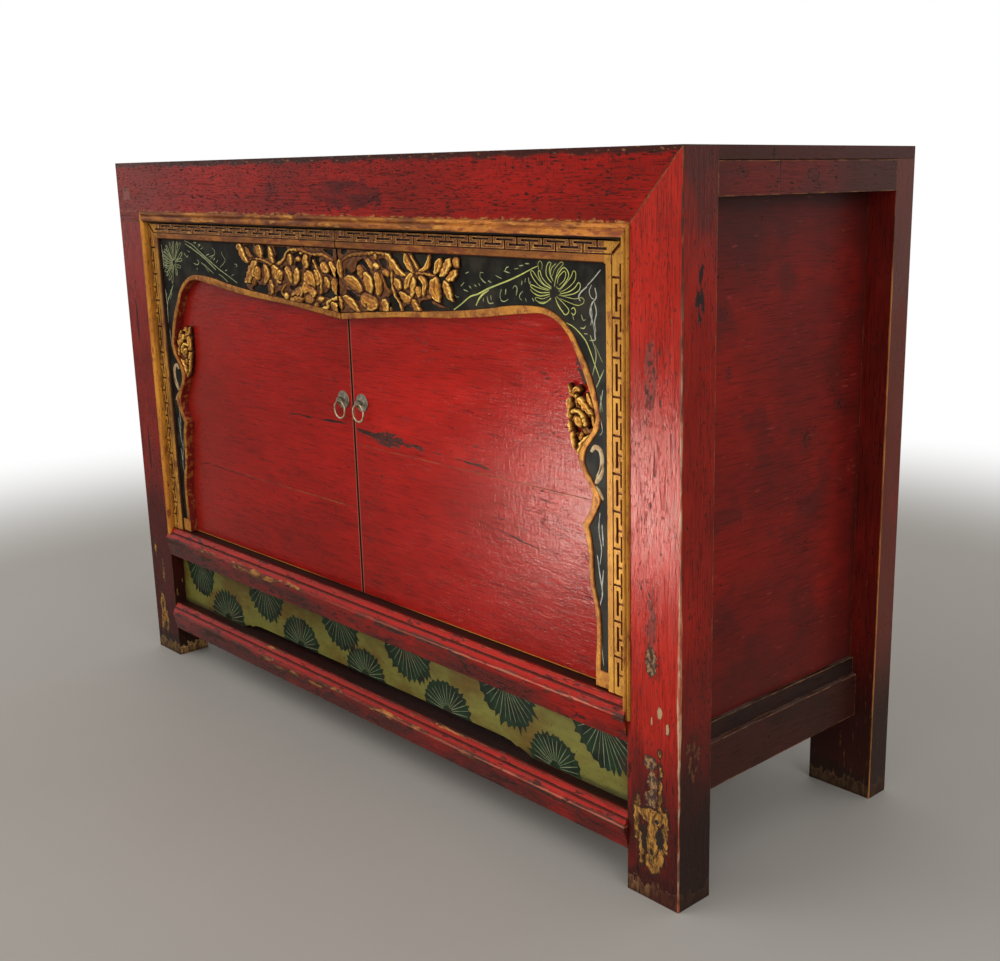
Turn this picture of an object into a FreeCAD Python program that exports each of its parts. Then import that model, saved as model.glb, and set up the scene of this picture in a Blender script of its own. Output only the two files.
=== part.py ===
import FreeCAD, Part
import math
import os

from FreeCAD import Vector

# Low two-door wedding cabinet, in millimetres. X runs along the front, -Y is the front,
# Z is up, and the origin is on the floor under the middle of the whole box.

# Carcass
frame_width = 1263.0
frame_depth = 431.0
frame_height = 860.0
rail_proud = 6.5            # how far the ridges of the front rails stand out of the posts
front_left_post_width = 75.0
front_right_post_width = 80.0
front_post_depth = 55.0
back_post_width = 98.0
back_post_depth = 38.5

# Front of the carcass
top_rail_height = 96.0
corner_peg_width = 22.0
corner_peg_height = 20.0
corner_peg_from_side = 20.0
corner_peg_depth = 34.0
corner_peg_from_shoulder = 46.0
door_rail_top = 239.0
door_rail_height = 50.0
door_rail_depth = 45.0
base_rail_top = 98.0
base_rail_height = 46.0
base_rail_depth = 42.0
rail_ridge_land = 1.6       # flat along the crest of a front rail
rail_bead_width = 2.4
rail_bead_depth = 1.2
apron_recess = 22.0
apron_thickness = 10.0
apron_tongue = 6.0
apron_lift = 12.0           # how far the middle of the apron clears the base rail

# Sides
side_top_rail_height = 36.7
side_top_rail_thickness = 55.0
side_top_rail_gap = 0.8     # open joint seen under the edge of the top boards
side_bottom_rail_recess = 28.0
side_bottom_rail_thickness = 36.0
side_bottom_rail_low = 115.0
side_bottom_rail_height = 59.0
side_panel_recess = 40.0
side_panel_thickness = 10.0
side_strip_height = 23.0
side_strip_proud = 6.0
panel_tongue = 6.0

# Back
back_rail_thickness = 28.0
back_rail_setback = 3.0
back_top_rail_height = 55.0
back_floor_rail_height = 52.0
back_panel_thickness = 9.0
back_panel_setback = 13.0
muntin_width = 56.0
muntin_thickness = 20.0

# Top and floor
top_board_thickness = 15.0
top_front_board_width = 91.0
top_tongue = 5.0
top_batten_width = 30.0
top_batten_height = 26.0
top_batten_from_middle = 230.0
floor_thickness = 16.0
floor_lip = 7.5             # how far the floor stands above the door bottoms, as their stop
floor_stop_gap = 0.6
floor_board_width = 118.0
bearer_width = 42.0
bearer_height = 20.0
bearer_from_middle = 320.0

# Tenons and general fits
tenon_thickness = 12.0
tenon_shoulder = 7.0
front_tenon_length = 30.0
front_tenon_setback = 20.0  # from the front of a post to its tenon
side_tenon_length = 18.0
side_tenon_setback = 38.0   # from the side of a post to its tenon
side_top_tenon_setback = 21.0
back_tenon_length = 26.0
post_tenon_width = 28.0
post_tenon_height = 38.0
batten_tenon_length = 8.0
joint_gap = 0.2
overrun = 8.0

# Gilt moulding round the door opening
moulding_proud = 4.0
moulding_depth = 30.0
top_moulding_width = 17.0
side_moulding_width = 10.5
moulding_foot = 22.0        # how far the side mouldings reach down over the door rail

# Doors
door_recess = 5.0           # from the front of the posts to the front of the stiles
door_overlay = 16.0         # from the front of the stiles to the face of the boards
door_board_thickness = 12.0
door_board_lap = 8.0
door_top_gap = 2.0
door_bottom_gap = 1.5
door_meeting_gap = 2.5
fret_side_width = 16.0
fret_top_width = 13.5
border_groove = 1.4
border_groove_depth = 2.0
ridge_side_width = 10.6
ridge_top_width = 9.6
ridge_chamfer = 2.2
fret_depth = 2.6
fret_pitch = 43.6
fret_bar_length = 30.0
fret_stem_width = 2.6
fret_margin = 9.0           # plain end left at the foot and at the corner of a fret
ground_setback = 5.0        # from the front of the stiles to the black ground
bead_setback = 3.0          # from the front of the stiles to the front of the arch bead
foot_block_height = 21.0
right_board_joint_share = 0.447     # height of the joint between the boards, as a share of the field's
left_board_joint_share = 0.256
batten_width = 34.0
batten_thickness = 12.0
dovetail_depth = 4.0
dovetail_narrow = 26.0
dovetail_wide = 30.0
batten_end_gap = 8.0
batten_place_shares = (0.187, 0.816)    # across the field, from the meeting edge

# Wooden pivots of the doors
pivot_from_edge = 10.0
pivot_from_face = 8.0
pivot_radius = 6.0
pivot_clearance = 0.3
pivot_engagement = 18.0
pivot_lift = 21.0           # spare depth of the top socket, so that the door lifts out
swing_clearance = 0.7

# Carvings
carving_thickness = 7.0
side_carving_thickness = 14.0
leaf_facets = 4             # flats along each side of a pierced leaf

# Ring pulls
pull_from_meeting = 21.25
pull_height_share = 0.5715          # above the door bottom, as a share of the field's height
plate_width = 28.0
plate_height = 26.0
plate_thickness = 1.4
plate_boss_radius = 5.5
plate_boss_height = 0.9
staple_wire = 2.2
staple_eye_radius = 4.2     # to the middle of the wire
staple_stand = 6.4          # from the plate to the middle of the eye
staple_clench = 9.0
staple_slack = 0.2
ring_radius = 12.4          # to the middle of the wire
ring_wire = 3.2
ring_rest_gap = 0.3
ring_facets = 24
eye_facets = 16
wire_facets = 8

# Main places worked out from the sizes above
front = rail_proud - (frame_depth + rail_proud) / 2
back = front + frame_depth
side = frame_width / 2
post_top = frame_height - top_board_thickness
opening_side = side - front_left_post_width
left_post_inner = -opening_side
right_post_inner = side - front_right_post_width
front_post_back = front + front_post_depth
back_post_inner = side - back_post_width
back_post_front = back - back_post_depth
top_rail_low = frame_height - top_rail_height
moulding_top = top_rail_low + top_moulding_width
moulding_inner = opening_side - side_moulding_width
moulding_front = front - moulding_proud
moulding_back = moulding_front + moulding_depth
moulding_low = door_rail_top - moulding_foot
door_rail_low = door_rail_top - door_rail_height
base_rail_low = base_rail_top - base_rail_height
side_top_rail_top = post_top - side_top_rail_gap
side_top_rail_low = side_top_rail_top - side_top_rail_height
side_bottom_rail_top = side_bottom_rail_low + side_bottom_rail_height
side_panel_outer = side - side_panel_recess
side_panel_inner = side_panel_outer - side_panel_thickness

# Door places, for the right-hand door
door_side_gap = math.hypot(pivot_from_edge, pivot_from_face) - pivot_from_edge + swing_clearance
door_front = front + door_recess
board_front = door_front + door_overlay
door_back = board_front + door_board_thickness
door_low = door_rail_top + door_bottom_gap
door_top = top_rail_low - door_top_gap
door_outer = moulding_inner - door_side_gap
door_meeting = door_meeting_gap / 2
stile_inner = door_outer - fret_side_width - border_groove - ridge_side_width
door_rail_under = door_top - fret_top_width - border_groove - ridge_top_width
pivot_x = door_outer - pivot_from_edge
pivot_y = door_front + pivot_from_face
field_width = stile_inner
field_height = door_rail_under - door_low

# Floor and back places
floor_top = door_low + floor_lip
floor_low = floor_top - floor_thickness
floor_front = door_back + floor_stop_gap
floor_notch_back = pivot_y + math.hypot(pivot_from_edge, door_back - pivot_y) + swing_clearance
floor_notch_side = pivot_x - pivot_from_edge - swing_clearance
back_rail_back = back - back_rail_setback
back_rail_front = back_rail_back - back_rail_thickness
back_panel_back = back - back_panel_setback
back_panel_front = back_panel_back - back_panel_thickness
back_top_rail_low = post_top - back_top_rail_height
back_floor_rail_low = floor_low - back_floor_rail_height


def block(x_span, y_span, z_span):
    """Box between two corners; each span is (low, high)."""
    spans = (x_span, y_span, z_span)
    lengths = [high - low for low, high in spans]
    return Part.makeBox(*lengths, Vector(*[low for low, high in spans]))


def wider(span, amount):
    return (span[0] - amount, span[1] + amount)


def prism(points, along):
    """Closed outline of vectors, pushed along a vector."""
    wire = Part.makePolygon(points + points[:1])
    return Part.Face(wire).extrude(along)


def joined(first, others):
    return first.fuse(others).removeSplitter()


def mirrored(shape):
    return shape.mirror(Vector(), Vector(1, 0, 0))


def export(name, shape):
    shape.exportStep(f"parts/{name}.step")


# Tenons: each is (x span, y span, z span), on the right-hand side unless it is one of a pair


def front_rail_tenons(z_low, z_high):
    low = front + front_tenon_setback
    y_span = (low, low + tenon_thickness)
    z_span = (z_low + tenon_shoulder, z_high - tenon_shoulder)
    left_end = (left_post_inner - front_tenon_length, left_post_inner)
    right_end = (right_post_inner, right_post_inner + front_tenon_length)
    return (left_end, y_span, z_span), (right_end, y_span, z_span)


def side_rail_tenons(setback, z_low, z_high):
    x_high = side - setback
    x_span = (x_high - tenon_thickness, x_high)
    z_span = (z_low + tenon_shoulder, z_high - tenon_shoulder)
    front_end = (front_post_back - side_tenon_length, front_post_back)
    back_end = (back_post_front, back_post_front + side_tenon_length)
    return (x_span, front_end, z_span), (x_span, back_end, z_span)


def back_rail_tenon(z_low, z_high):
    middle = (back_rail_front + back_rail_back) / 2
    y_span = (middle - tenon_thickness / 2, middle + tenon_thickness / 2)
    z_span = (z_low + tenon_shoulder, z_high - tenon_shoulder)
    return (back_post_inner, back_post_inner + back_tenon_length), y_span, z_span


def mortise(tenon):
    """Hole for a tenon, a joint gap wider all round."""
    return block(*[wider(span, joint_gap) for span in tenon])


door_rail_tenons = front_rail_tenons(door_rail_low, door_rail_top)
base_rail_tenons = front_rail_tenons(base_rail_low, base_rail_top)
top_side_tenons = side_rail_tenons(side_top_tenon_setback, side_top_rail_low, side_top_rail_top)
bottom_side_tenons = side_rail_tenons(side_tenon_setback, side_bottom_rail_low, side_bottom_rail_top)
back_top_tenon = back_rail_tenon(back_top_rail_low, post_top)
back_floor_tenon = back_rail_tenon(back_floor_rail_low, floor_low)


def side_panel_z():
    return side_bottom_rail_top - panel_tongue, side_top_rail_low + panel_tongue


def side_panel():
    y_span = (front_post_back - panel_tongue, back_post_front + panel_tongue)
    return (side_panel_inner, side_panel_outer), y_span, side_panel_z()


def apron_groove_span():
    y_low = front + apron_recess
    return (y_low, y_low + apron_thickness)


def mitre_wedge():
    """Everything above the mitre line of the right front corner."""
    rise = frame_height - moulding_top
    run = side - opening_side
    reach = (rise + overrun) / rise
    corner = Vector(opening_side, front - overrun, moulding_top)
    end = Vector(opening_side + run * reach, front - overrun, moulding_top + rise * reach)
    above = Vector(corner.x, corner.y, end.z)
    return prism([corner, end, above], Vector(0, front_post_depth + 2 * overrun, 0))


def rail_mitre_tongue():
    """Tongue of the front top rail, which enters the mitred post."""
    low = front + front_tenon_setback
    rise = frame_height - moulding_top
    x_span = (opening_side, opening_side + front_tenon_length)
    return x_span, (low, low + tenon_thickness), (moulding_top + tenon_shoulder, moulding_top + rise / 2)


def left_post_tenon():
    middle = -(side + opening_side) / 2
    low = front + front_tenon_setback
    x_span = (middle - post_tenon_width / 2, middle + post_tenon_width / 2)
    return x_span, (low, low + tenon_thickness), (top_rail_low, top_rail_low + post_tenon_height)


def corner_peg():
    x_low = corner_peg_from_side - side
    z_low = top_rail_low + corner_peg_from_shoulder - corner_peg_height / 2
    y_span = (front, front + corner_peg_depth)
    return (x_low, x_low + corner_peg_width), y_span, (z_low, z_low + corner_peg_height)


def apron_post_groove(low, high):
    """Groove for one end of the apron, between two places along X."""
    return block((low, high), wider(apron_groove_span(), joint_gap), (base_rail_top, door_rail_low))


def front_right_post():
    """Post with a mitred top, set back above the door rail to take the moulding."""
    post = block((right_post_inner, side), (front, front_post_back), (0, frame_height))
    set_back = (right_post_inner - overrun, opening_side)
    top = frame_height + overrun
    cuts = [block(set_back, (front - overrun, moulding_back), (moulding_low, top)),
            block(set_back, (front - overrun, front_post_back + overrun), (top_rail_low, top)),
            mitre_wedge(), mortise(rail_mitre_tongue()), mortise(side_panel()),
            mortise(door_rail_tenons[1]), mortise(base_rail_tenons[1]),
            mortise(top_side_tenons[0]), mortise(bottom_side_tenons[0]),
            apron_post_groove(right_post_inner - overrun, right_post_inner + apron_tongue + joint_gap)]
    return post.cut(cuts)


def front_left_post():
    """Post under the end of the top rail, with a tenon into it that a peg locks."""
    post = block((-side, left_post_inner), (front, front_post_back), (0, top_rail_low))
    right_hand = [mortise(side_panel()), mortise(top_side_tenons[0]), mortise(bottom_side_tenons[0])]
    cuts = [mirrored(shape) for shape in right_hand]
    cuts += [mortise(door_rail_tenons[0]), mortise(base_rail_tenons[0]),
             apron_post_groove(left_post_inner - apron_tongue - joint_gap, left_post_inner + overrun)]
    return joined(post.cut(cuts), [block(*left_post_tenon())]).cut(block(*corner_peg()))


def back_posts():
    post = block((back_post_inner, side), (back_post_front, back), (0, post_top))
    holes = [mortise(top_side_tenons[1]), mortise(bottom_side_tenons[1]), mortise(side_panel())]
    holes += [mortise(back_top_tenon), mortise(back_floor_tenon)]
    panel_x = (back_post_inner - overrun, back_post_inner + panel_tongue + joint_gap)
    panel_y = wider((back_panel_front, back_panel_back), joint_gap)
    holes.append(block(panel_x, panel_y, (floor_low, back_top_rail_low)))
    post = post.cut(holes)
    export("back_right_post", post)
    export("back_left_post", mirrored(post))


def pivot_socket(z_low, z_high):
    radius = pivot_radius + pivot_clearance
    return Part.makeCylinder(radius, z_high - z_low, Vector(pivot_x, pivot_y, z_low))


def front_top_rail():
    rail = block((-side, side), (front, front_post_back), (top_rail_low, frame_height))
    inner = (-opening_side, opening_side)
    right_post = block((opening_side, side + overrun), (front - overrun, front_post_back + overrun),
                       (top_rail_low - overrun, frame_height + overrun)).cut(mitre_wedge())
    rebate = block(inner, (front - overrun, moulding_back), (top_rail_low - overrun, moulding_top))
    tongue_z = (post_top + (top_board_thickness - top_tongue) / 2, post_top
                + (top_board_thickness + top_tongue) / 2)
    board_groove = block((-side - overrun, side + overrun),
                         (front_post_back - top_tongue - joint_gap, front_post_back + overrun),
                         wider(tongue_z, joint_gap))
    top_socket = pivot_socket(moulding_top - overrun, moulding_top + pivot_engagement + pivot_lift)
    side_hole = mortise(top_side_tenons[0])
    panel_hole = mortise(side_panel())
    cuts = [right_post, rebate, board_groove, top_socket, mirrored(top_socket)]
    cuts += [side_hole, mirrored(side_hole), panel_hole, mirrored(panel_hole)]
    cuts += [mortise(left_post_tenon()), block(*corner_peg())]
    cuts += [mortise(span) for span in top_batten_tenons(front_post_back - batten_tenon_length)]
    tongue = block(*rail_mitre_tongue())
    export("front_top_rail", joined(rail.cut(cuts), [tongue]).cut(side_hole))
    export("corner_peg", block(*corner_peg()))


rail_ridge_share = 0.37     # place of the ridge below the top of a front rail
rail_flat_share = 0.5       # where the flat top starts, as a share of the proud ridge
rail_bead_share = 0.42      # place of the bead groove on the upper slope


def ridge_profile(top, height, depth):
    """Section of a front rail: flat top, bead groove, ridge and a long lower slope."""
    ridge = top - height * rail_ridge_share
    land = rail_ridge_land / 2
    flat = front + rail_proud * rail_flat_share
    groove = top - (top - ridge) * rail_bead_share
    groove_y = flat - (flat - front + rail_proud) * rail_bead_share
    return [Vector(0, front + depth, top), Vector(0, flat, top),
            Vector(0, groove_y, groove + rail_bead_width / 2),
            Vector(0, groove_y + rail_bead_depth, groove),
            Vector(0, groove_y - rail_bead_depth, groove - rail_bead_width / 2),
            Vector(0, front - rail_proud, ridge + land), Vector(0, front - rail_proud, ridge - land),
            Vector(0, front, top - height), Vector(0, front + depth, top - height)]


def ridged_rail(top, height, depth, tenons):
    shift = Vector(left_post_inner, 0, 0)
    points = [point + shift for point in ridge_profile(top, height, depth)]
    rail = prism(points, Vector(right_post_inner - left_post_inner, 0, 0))
    return joined(rail, [block(*tenon) for tenon in tenons])


def door_rail():
    rail = ridged_rail(door_rail_top, door_rail_height, door_rail_depth, door_rail_tenons)
    socket = pivot_socket(door_low - door_bottom_gap - pivot_engagement, door_low + overrun)
    rebate = block((-side, side), (floor_front - joint_gap, front + door_rail_depth + overrun),
                   (floor_low, door_rail_top + overrun))
    apron_groove = block((left_post_inner, right_post_inner), wider(apron_groove_span(), joint_gap),
                         (door_rail_low - overrun, door_rail_low + apron_tongue + joint_gap))
    cuts = [socket, mirrored(socket), rebate, apron_groove]
    cuts += [mortise(tenon) for tenon in bearer_tenons(front + door_rail_depth - batten_tenon_length)]
    return rail.cut(cuts)


# Points of the apron's cut-out from its end to the flat middle, as shares of half the
# opening's width and of the apron's lift
apron_cut_shares = [(0.645, 0.0), (0.628, 0.30), (0.603, 0.62), (0.596, 0.50), (0.575, 0.86), (0.545, 1.0)]


def apron():
    x_span = (left_post_inner - apron_tongue, right_post_inner + apron_tongue)
    y_low = apron_groove_span()[0]
    body = block(x_span, apron_groove_span(), (base_rail_top, door_rail_low + apron_tongue))
    ends = [block((x_span[0] - overrun, left_post_inner), wider(apron_groove_span(), overrun),
                  (door_rail_low, door_rail_low + apron_tongue + overrun)),
            block((right_post_inner, x_span[1] + overrun), wider(apron_groove_span(), overrun),
                  (door_rail_low, door_rail_low + apron_tongue + overrun))]
    right = [Vector(x * opening_side, y_low - overrun, base_rail_top + z * apron_lift)
             for x, z in apron_cut_shares]
    left = [Vector(-point.x, point.y, point.z) for point in reversed(right)]
    drop = Vector(0, 0, -overrun)
    outline = [right[0] + drop] + right + left + [left[-1] + drop]
    cut = prism(outline, Vector(0, apron_thickness + 2 * overrun, 0))
    return body.cut([cut] + ends)


def side_frames():
    """Rails, strip and panel of the right side, and their mirror images."""
    y_span = (front_post_back, back_post_front)
    groove = block(*[wider(span, joint_gap) for span in side_panel()])

    top = block((side - side_top_rail_thickness, side), y_span, (side_top_rail_low, side_top_rail_top))
    top = joined(top, [block(*tenon) for tenon in top_side_tenons]).cut(groove)
    x_outer = side - side_bottom_rail_recess
    bottom = block((x_outer - side_bottom_rail_thickness, x_outer), y_span,
                   (side_bottom_rail_low, side_bottom_rail_top))
    bottom = joined(bottom, [block(*tenon) for tenon in bottom_side_tenons]).cut(groove)
    strip = block((side_panel_outer, side_panel_outer + side_strip_proud), y_span,
                  (side_bottom_rail_top, side_bottom_rail_top + side_strip_height))
    pieces = {"side_top_rail": top, "side_bottom_rail": bottom, "side_strip": strip,
              "side_panel": block(*side_panel())}
    for name, shape in pieces.items():
        export(f"right_{name}", shape)
        export(f"left_{name}", mirrored(shape))


def back_frame():
    """Two rails, a muntin and two loose panels between the back posts."""
    y_span = (back_rail_front, back_rail_back)
    half = (-back_post_inner, back_post_inner)
    middle = (back_rail_front + back_rail_back) / 2
    muntin_y = (middle - muntin_thickness / 2, middle + muntin_thickness / 2)
    tenon_y = (middle - tenon_thickness / 2, middle + tenon_thickness / 2)
    muntin_x = (-muntin_width / 2, muntin_width / 2)
    tenon_x = wider(muntin_x, -tenon_shoulder)
    panel_z = (floor_low - panel_tongue, back_top_rail_low + panel_tongue)
    panel_y = (back_panel_front, back_panel_back)

    groove = block(wider(half, overrun), wider(panel_y, joint_gap), wider(panel_z, joint_gap))
    muntin_tenon = (tenon_x, tenon_y, (floor_low - side_tenon_length, back_top_rail_low + side_tenon_length))
    muntin_hole = block(*[wider(span, joint_gap) for span in muntin_tenon])

    top = block(half, y_span, (back_top_rail_low, post_top))
    top_tenon = block(*back_top_tenon)
    batten_holes = [mortise(tenon) for tenon in top_batten_tenons(back_rail_front)]
    top = joined(top, [top_tenon, mirrored(top_tenon)]).cut([groove, muntin_hole] + batten_holes)
    export("back_top_rail", top)

    low = block(half, y_span, (back_floor_rail_low, floor_low))
    low_tenon = block(*back_floor_tenon)
    bearer_holes = [mortise(tenon) for tenon in bearer_tenons(back_rail_front)]
    low = joined(low, [low_tenon, mirrored(low_tenon)]).cut([groove, muntin_hole] + bearer_holes)
    export("back_floor_rail", low)

    muntin = joined(block(muntin_x, muntin_y, (floor_low, back_top_rail_low)), [block(*muntin_tenon)])
    tongue_x = muntin_width / 2 - panel_tongue
    side_groove = block((tongue_x - joint_gap, side), wider(panel_y, joint_gap),
                        wider(panel_z, side_tenon_length))
    export("back_muntin", muntin.cut([side_groove, mirrored(side_groove)]))

    panel = block((tongue_x, back_post_inner + panel_tongue), panel_y, panel_z)
    corner = block((back_post_inner, back_post_inner + panel_tongue + overrun),
                   wider(panel_y, overrun), (back_top_rail_low, panel_z[1] + overrun))
    foot = block((back_post_inner, back_post_inner + panel_tongue + overrun),
                 wider(panel_y, overrun), (panel_z[0] - overrun, floor_low))
    panel = panel.cut([corner, foot])
    export("back_right_panel", panel)
    export("back_left_panel", mirrored(panel))


def top_batten_spans():
    x_low = top_batten_from_middle - top_batten_width / 2
    return (x_low, x_low + top_batten_width), (post_top - top_batten_height, post_top)


def top_batten_tenons(y_low):
    """Stub tenons of both top battens that start at a place along Y."""
    x_span, z_span = top_batten_spans()
    x_span = wider(x_span, -tenon_shoulder)
    z_span = (z_span[0] + tenon_shoulder, z_span[1] - tenon_shoulder)
    y_span = (y_low, y_low + batten_tenon_length)
    return [(x_span, y_span, z_span), ((-x_span[1], -x_span[0]), y_span, z_span)]


def bearer_places():
    return [-bearer_from_middle, 0, bearer_from_middle]


def bearer_tenons(y_low):
    """Stub tenons of the floor bearers that start at a place along Y."""
    half = bearer_width / 2 - tenon_shoulder
    z_span = (floor_low - bearer_height + tenon_shoulder, floor_low - tenon_shoulder)
    y_span = (y_low, y_low + batten_tenon_length)
    return [((x - half, x + half), y_span, z_span) for x in bearer_places()]


def top_boards():
    """Two lengthwise boards, tongued to the front rail and to each other, on two battens."""
    tongue_z = (post_top + (top_board_thickness - top_tongue) / 2,
                post_top + (top_board_thickness + top_tongue) / 2)
    x_span = (-side, side)
    joint = front_post_back + top_front_board_width
    z_span = (post_top, frame_height)
    front_board = block(x_span, (front_post_back, joint), z_span)
    front_tongue = block((-side, opening_side), (front_post_back - top_tongue, front_post_back), tongue_z)
    joint_tongue = block(x_span, (joint, joint + top_tongue), tongue_z)
    export("top_front_board", joined(front_board, [front_tongue, joint_tongue]))
    back_board = block(x_span, (joint, back), z_span)
    joint_groove = (joint - overrun, joint + top_tongue + joint_gap)
    groove = block(wider(x_span, overrun), joint_groove, wider(tongue_z, joint_gap))
    export("top_back_board", back_board.cut(groove))

    x_span, z_span = top_batten_spans()
    tenons = [top_batten_tenons(front_post_back - batten_tenon_length)[0],
              top_batten_tenons(back_rail_front)[0]]
    batten = block(x_span, (front_post_back, back_rail_front), z_span)
    batten = joined(batten, [block(*tenon) for tenon in tenons])
    export("top_battens", Part.makeCompound([batten, mirrored(batten)]))


def floor_boards():
    """Three lengthwise boards on three bearers; the outer two go round the posts."""
    length = side_panel_inner - joint_gap
    x_span = (-length, length)
    z_span = (floor_low, floor_top)
    first = floor_front + floor_board_width
    second = first + floor_board_width
    corner_y = (front, front_post_back + joint_gap)
    corners = [block((-side, left_post_inner + joint_gap), corner_y, wider(z_span, overrun)),
               block((right_post_inner - joint_gap, side), corner_y, wider(z_span, overrun))]
    notch = block((floor_notch_side, side), (front, floor_notch_back), wider(z_span, overrun))
    heel = block((back_post_inner - joint_gap, side), (back_post_front - joint_gap, back),
                 wider(z_span, overrun))
    last = back_panel_front - joint_gap
    spans = [("front", (floor_front, first)), ("middle", (first, second)), ("back", (second, last))]
    muntin_corner = block(wider((-muntin_width / 2, muntin_width / 2), joint_gap),
                          (back_rail_front - joint_gap, back), wider(z_span, overrun))
    for name, y_span in spans:
        board = block(x_span, y_span, z_span)
        board = board.cut(corners + [notch, mirrored(notch), heel, mirrored(heel), muntin_corner])
        export(f"floor_{name}_board", board)

    bearers = []
    ends = zip(bearer_tenons(front + door_rail_depth - batten_tenon_length), bearer_tenons(back_rail_front))
    for x, tenons in zip(bearer_places(), ends):
        body = block((x - bearer_width / 2, x + bearer_width / 2),
                     (front + door_rail_depth, back_rail_front), (floor_low - bearer_height, floor_low))
        bearers.append(joined(body, [block(*tenon) for tenon in tenons]))
    export("floor_bearers", Part.makeCompound(bearers))


# Section of the gilt moulding from its inner to its outer edge, as shares of its width and
# of its proud height: two rounded ridges with a quirk between them
moulding_shares = [(0.0, 0.15), (0.06, 0.55), (0.16, 0.86), (0.30, 1.0), (0.44, 0.92), (0.56, 0.62),
                   (0.60, 0.30), (0.66, 0.32), (0.72, 0.66), (0.82, 0.80), (0.92, 0.66), (1.0, 0.2)]


def mouldings(rail):
    """Gilt moulding on three sides of the opening, mitred at the top corners."""
    run = Vector(moulding_inner - opening_side, 0, top_rail_low - moulding_top)
    corner = Vector(opening_side, moulding_front - overrun, moulding_top)
    inner = corner + run * 2
    outer = corner - run
    through = Vector(0, moulding_depth + 2 * overrun, 0)
    above = prism([inner, outer, Vector(inner.x, inner.y, outer.z)], through)
    outside = prism([inner, outer, Vector(outer.x, inner.y, inner.z)], through)

    section = [Vector(moulding_inner + x * side_moulding_width, front - y * moulding_proud, moulding_low)
               for x, y in moulding_shares]
    section.append(Vector(opening_side, moulding_back, moulding_low))
    section.append(Vector(moulding_inner, moulding_back, moulding_low))
    upright = prism(section, Vector(0, 0, moulding_top - moulding_low)).cut(above)
    export("right_moulding", upright.cut(rail))
    export("left_moulding", mirrored(upright).cut(rail))

    section = [Vector(-opening_side, front - y * moulding_proud, top_rail_low + z * top_moulding_width)
               for z, y in moulding_shares]
    section.append(Vector(-opening_side, moulding_back, moulding_top))
    section.append(Vector(-opening_side, moulding_back, top_rail_low))
    lintel = prism(section, Vector(2 * opening_side, 0, 0))
    hole = pivot_socket(top_rail_low - overrun, moulding_top + overrun)
    export("top_moulding", lintel.cut([outside, mirrored(outside), hole, mirrored(hole)]))


def tee(along, across, stem_from, stem_to, bar_low, bar_high, place):
    """One T-shaped groove; along and across are unit vectors, and place maps to the door."""
    half_stem = fret_stem_width / 2
    half_bar = fret_bar_length / 2
    stem = [(-half_stem, stem_from), (half_stem, stem_from), (half_stem, stem_to), (-half_stem, stem_to)]
    bar = [(-half_bar, bar_low), (half_bar, bar_low), (half_bar, bar_high), (-half_bar, bar_high)]
    cut = Vector(0, fret_depth + overrun, 0)
    shapes = [prism([place + along * a + across * b for a, b in points], cut) for points in (stem, bar)]
    return shapes[0].fuse(shapes[1])


# Places across the fret band, as shares from its outer edge to its inner edge: a T from the
# outer edge has its bar past the middle, and a T from the inner edge has it near the outside
outer_bar_shares = (0.52, 0.74)
inner_bar_shares = (0.12, 0.32)
band_rim_shares = (0.0, 1.0)


def fret_band(start, along, across, length, width):
    """Interlocking T grooves along a band, from a start on its outer edge."""
    grooves = []
    pitches = int((length - 2 * fret_margin) / (fret_pitch / 2))
    first = (length - (pitches - 1) * fret_pitch / 2) / 2
    for step in range(pitches):
        place = start + along * (first + step * fret_pitch / 2)
        if step % 2 == 0:
            low, high = [share * width for share in outer_bar_shares]
            rim = band_rim_shares[0] * width - overrun
            grooves.append(tee(along, across, rim, high, low, high, place))
        else:
            low, high = [share * width for share in inner_bar_shares]
            rim = band_rim_shares[1] * width
            grooves.append(tee(along, across, low, rim, low, high, place))
    return grooves


def border_cutters():
    """Fret, grooves and ridge edges, cut into the stile and the top rail together."""
    y = door_front - overrun
    up = Vector(0, 0, 1)
    right = Vector(1, 0, 0)
    fret_inner = door_outer - fret_side_width
    fret_under = door_top - fret_top_width
    side_length = fret_under - door_low
    top_length = fret_inner - door_meeting
    cutters = fret_band(Vector(door_outer, y, door_low), up, right * -1, side_length, fret_side_width)
    cutters += fret_band(Vector(door_meeting, y, door_top), right, up * -1, top_length, fret_top_width)

    groove_y = (y, door_front + border_groove_depth)
    groove_x = (fret_inner - border_groove, fret_inner)
    groove_z = (fret_under - border_groove, fret_under)
    cutters.append(block(groove_x, groove_y, (door_low - overrun, groove_z[1])))
    cutters.append(block((door_meeting - overrun, groove_x[1]), groove_y, groove_z))

    corner = [Vector(door_outer, y, door_top), Vector(fret_inner, y, fret_under)]
    slant = Vector(-fret_stem_width / 2, 0, fret_stem_width / 2)
    cutters.append(prism([corner[0] - slant, corner[0] + slant, corner[1] + slant, corner[1] - slant],
                         Vector(0, fret_depth + overrun, 0)))
    return cutters


def ridge_chamfers():
    """Slanting inner edges of the plain ridge beside the field."""
    face = door_front - overrun
    deep = door_front + ridge_chamfer
    wide = ridge_chamfer + overrun
    z_low = door_low - overrun
    z_span = Vector(0, 0, door_rail_under - z_low)
    upright = prism([Vector(stile_inner - overrun, face, z_low), Vector(stile_inner + wide, face, z_low),
                     Vector(stile_inner, deep, z_low), Vector(stile_inner - overrun, deep, z_low)], z_span)
    x_low = door_meeting - overrun
    x_span = Vector(stile_inner - x_low, 0, 0)
    lintel = prism([Vector(x_low, face, door_rail_under - overrun),
                    Vector(x_low, face, door_rail_under + wide),
                    Vector(x_low, deep, door_rail_under),
                    Vector(x_low, deep, door_rail_under - overrun)], x_span)
    return [upright, lintel]


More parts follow.
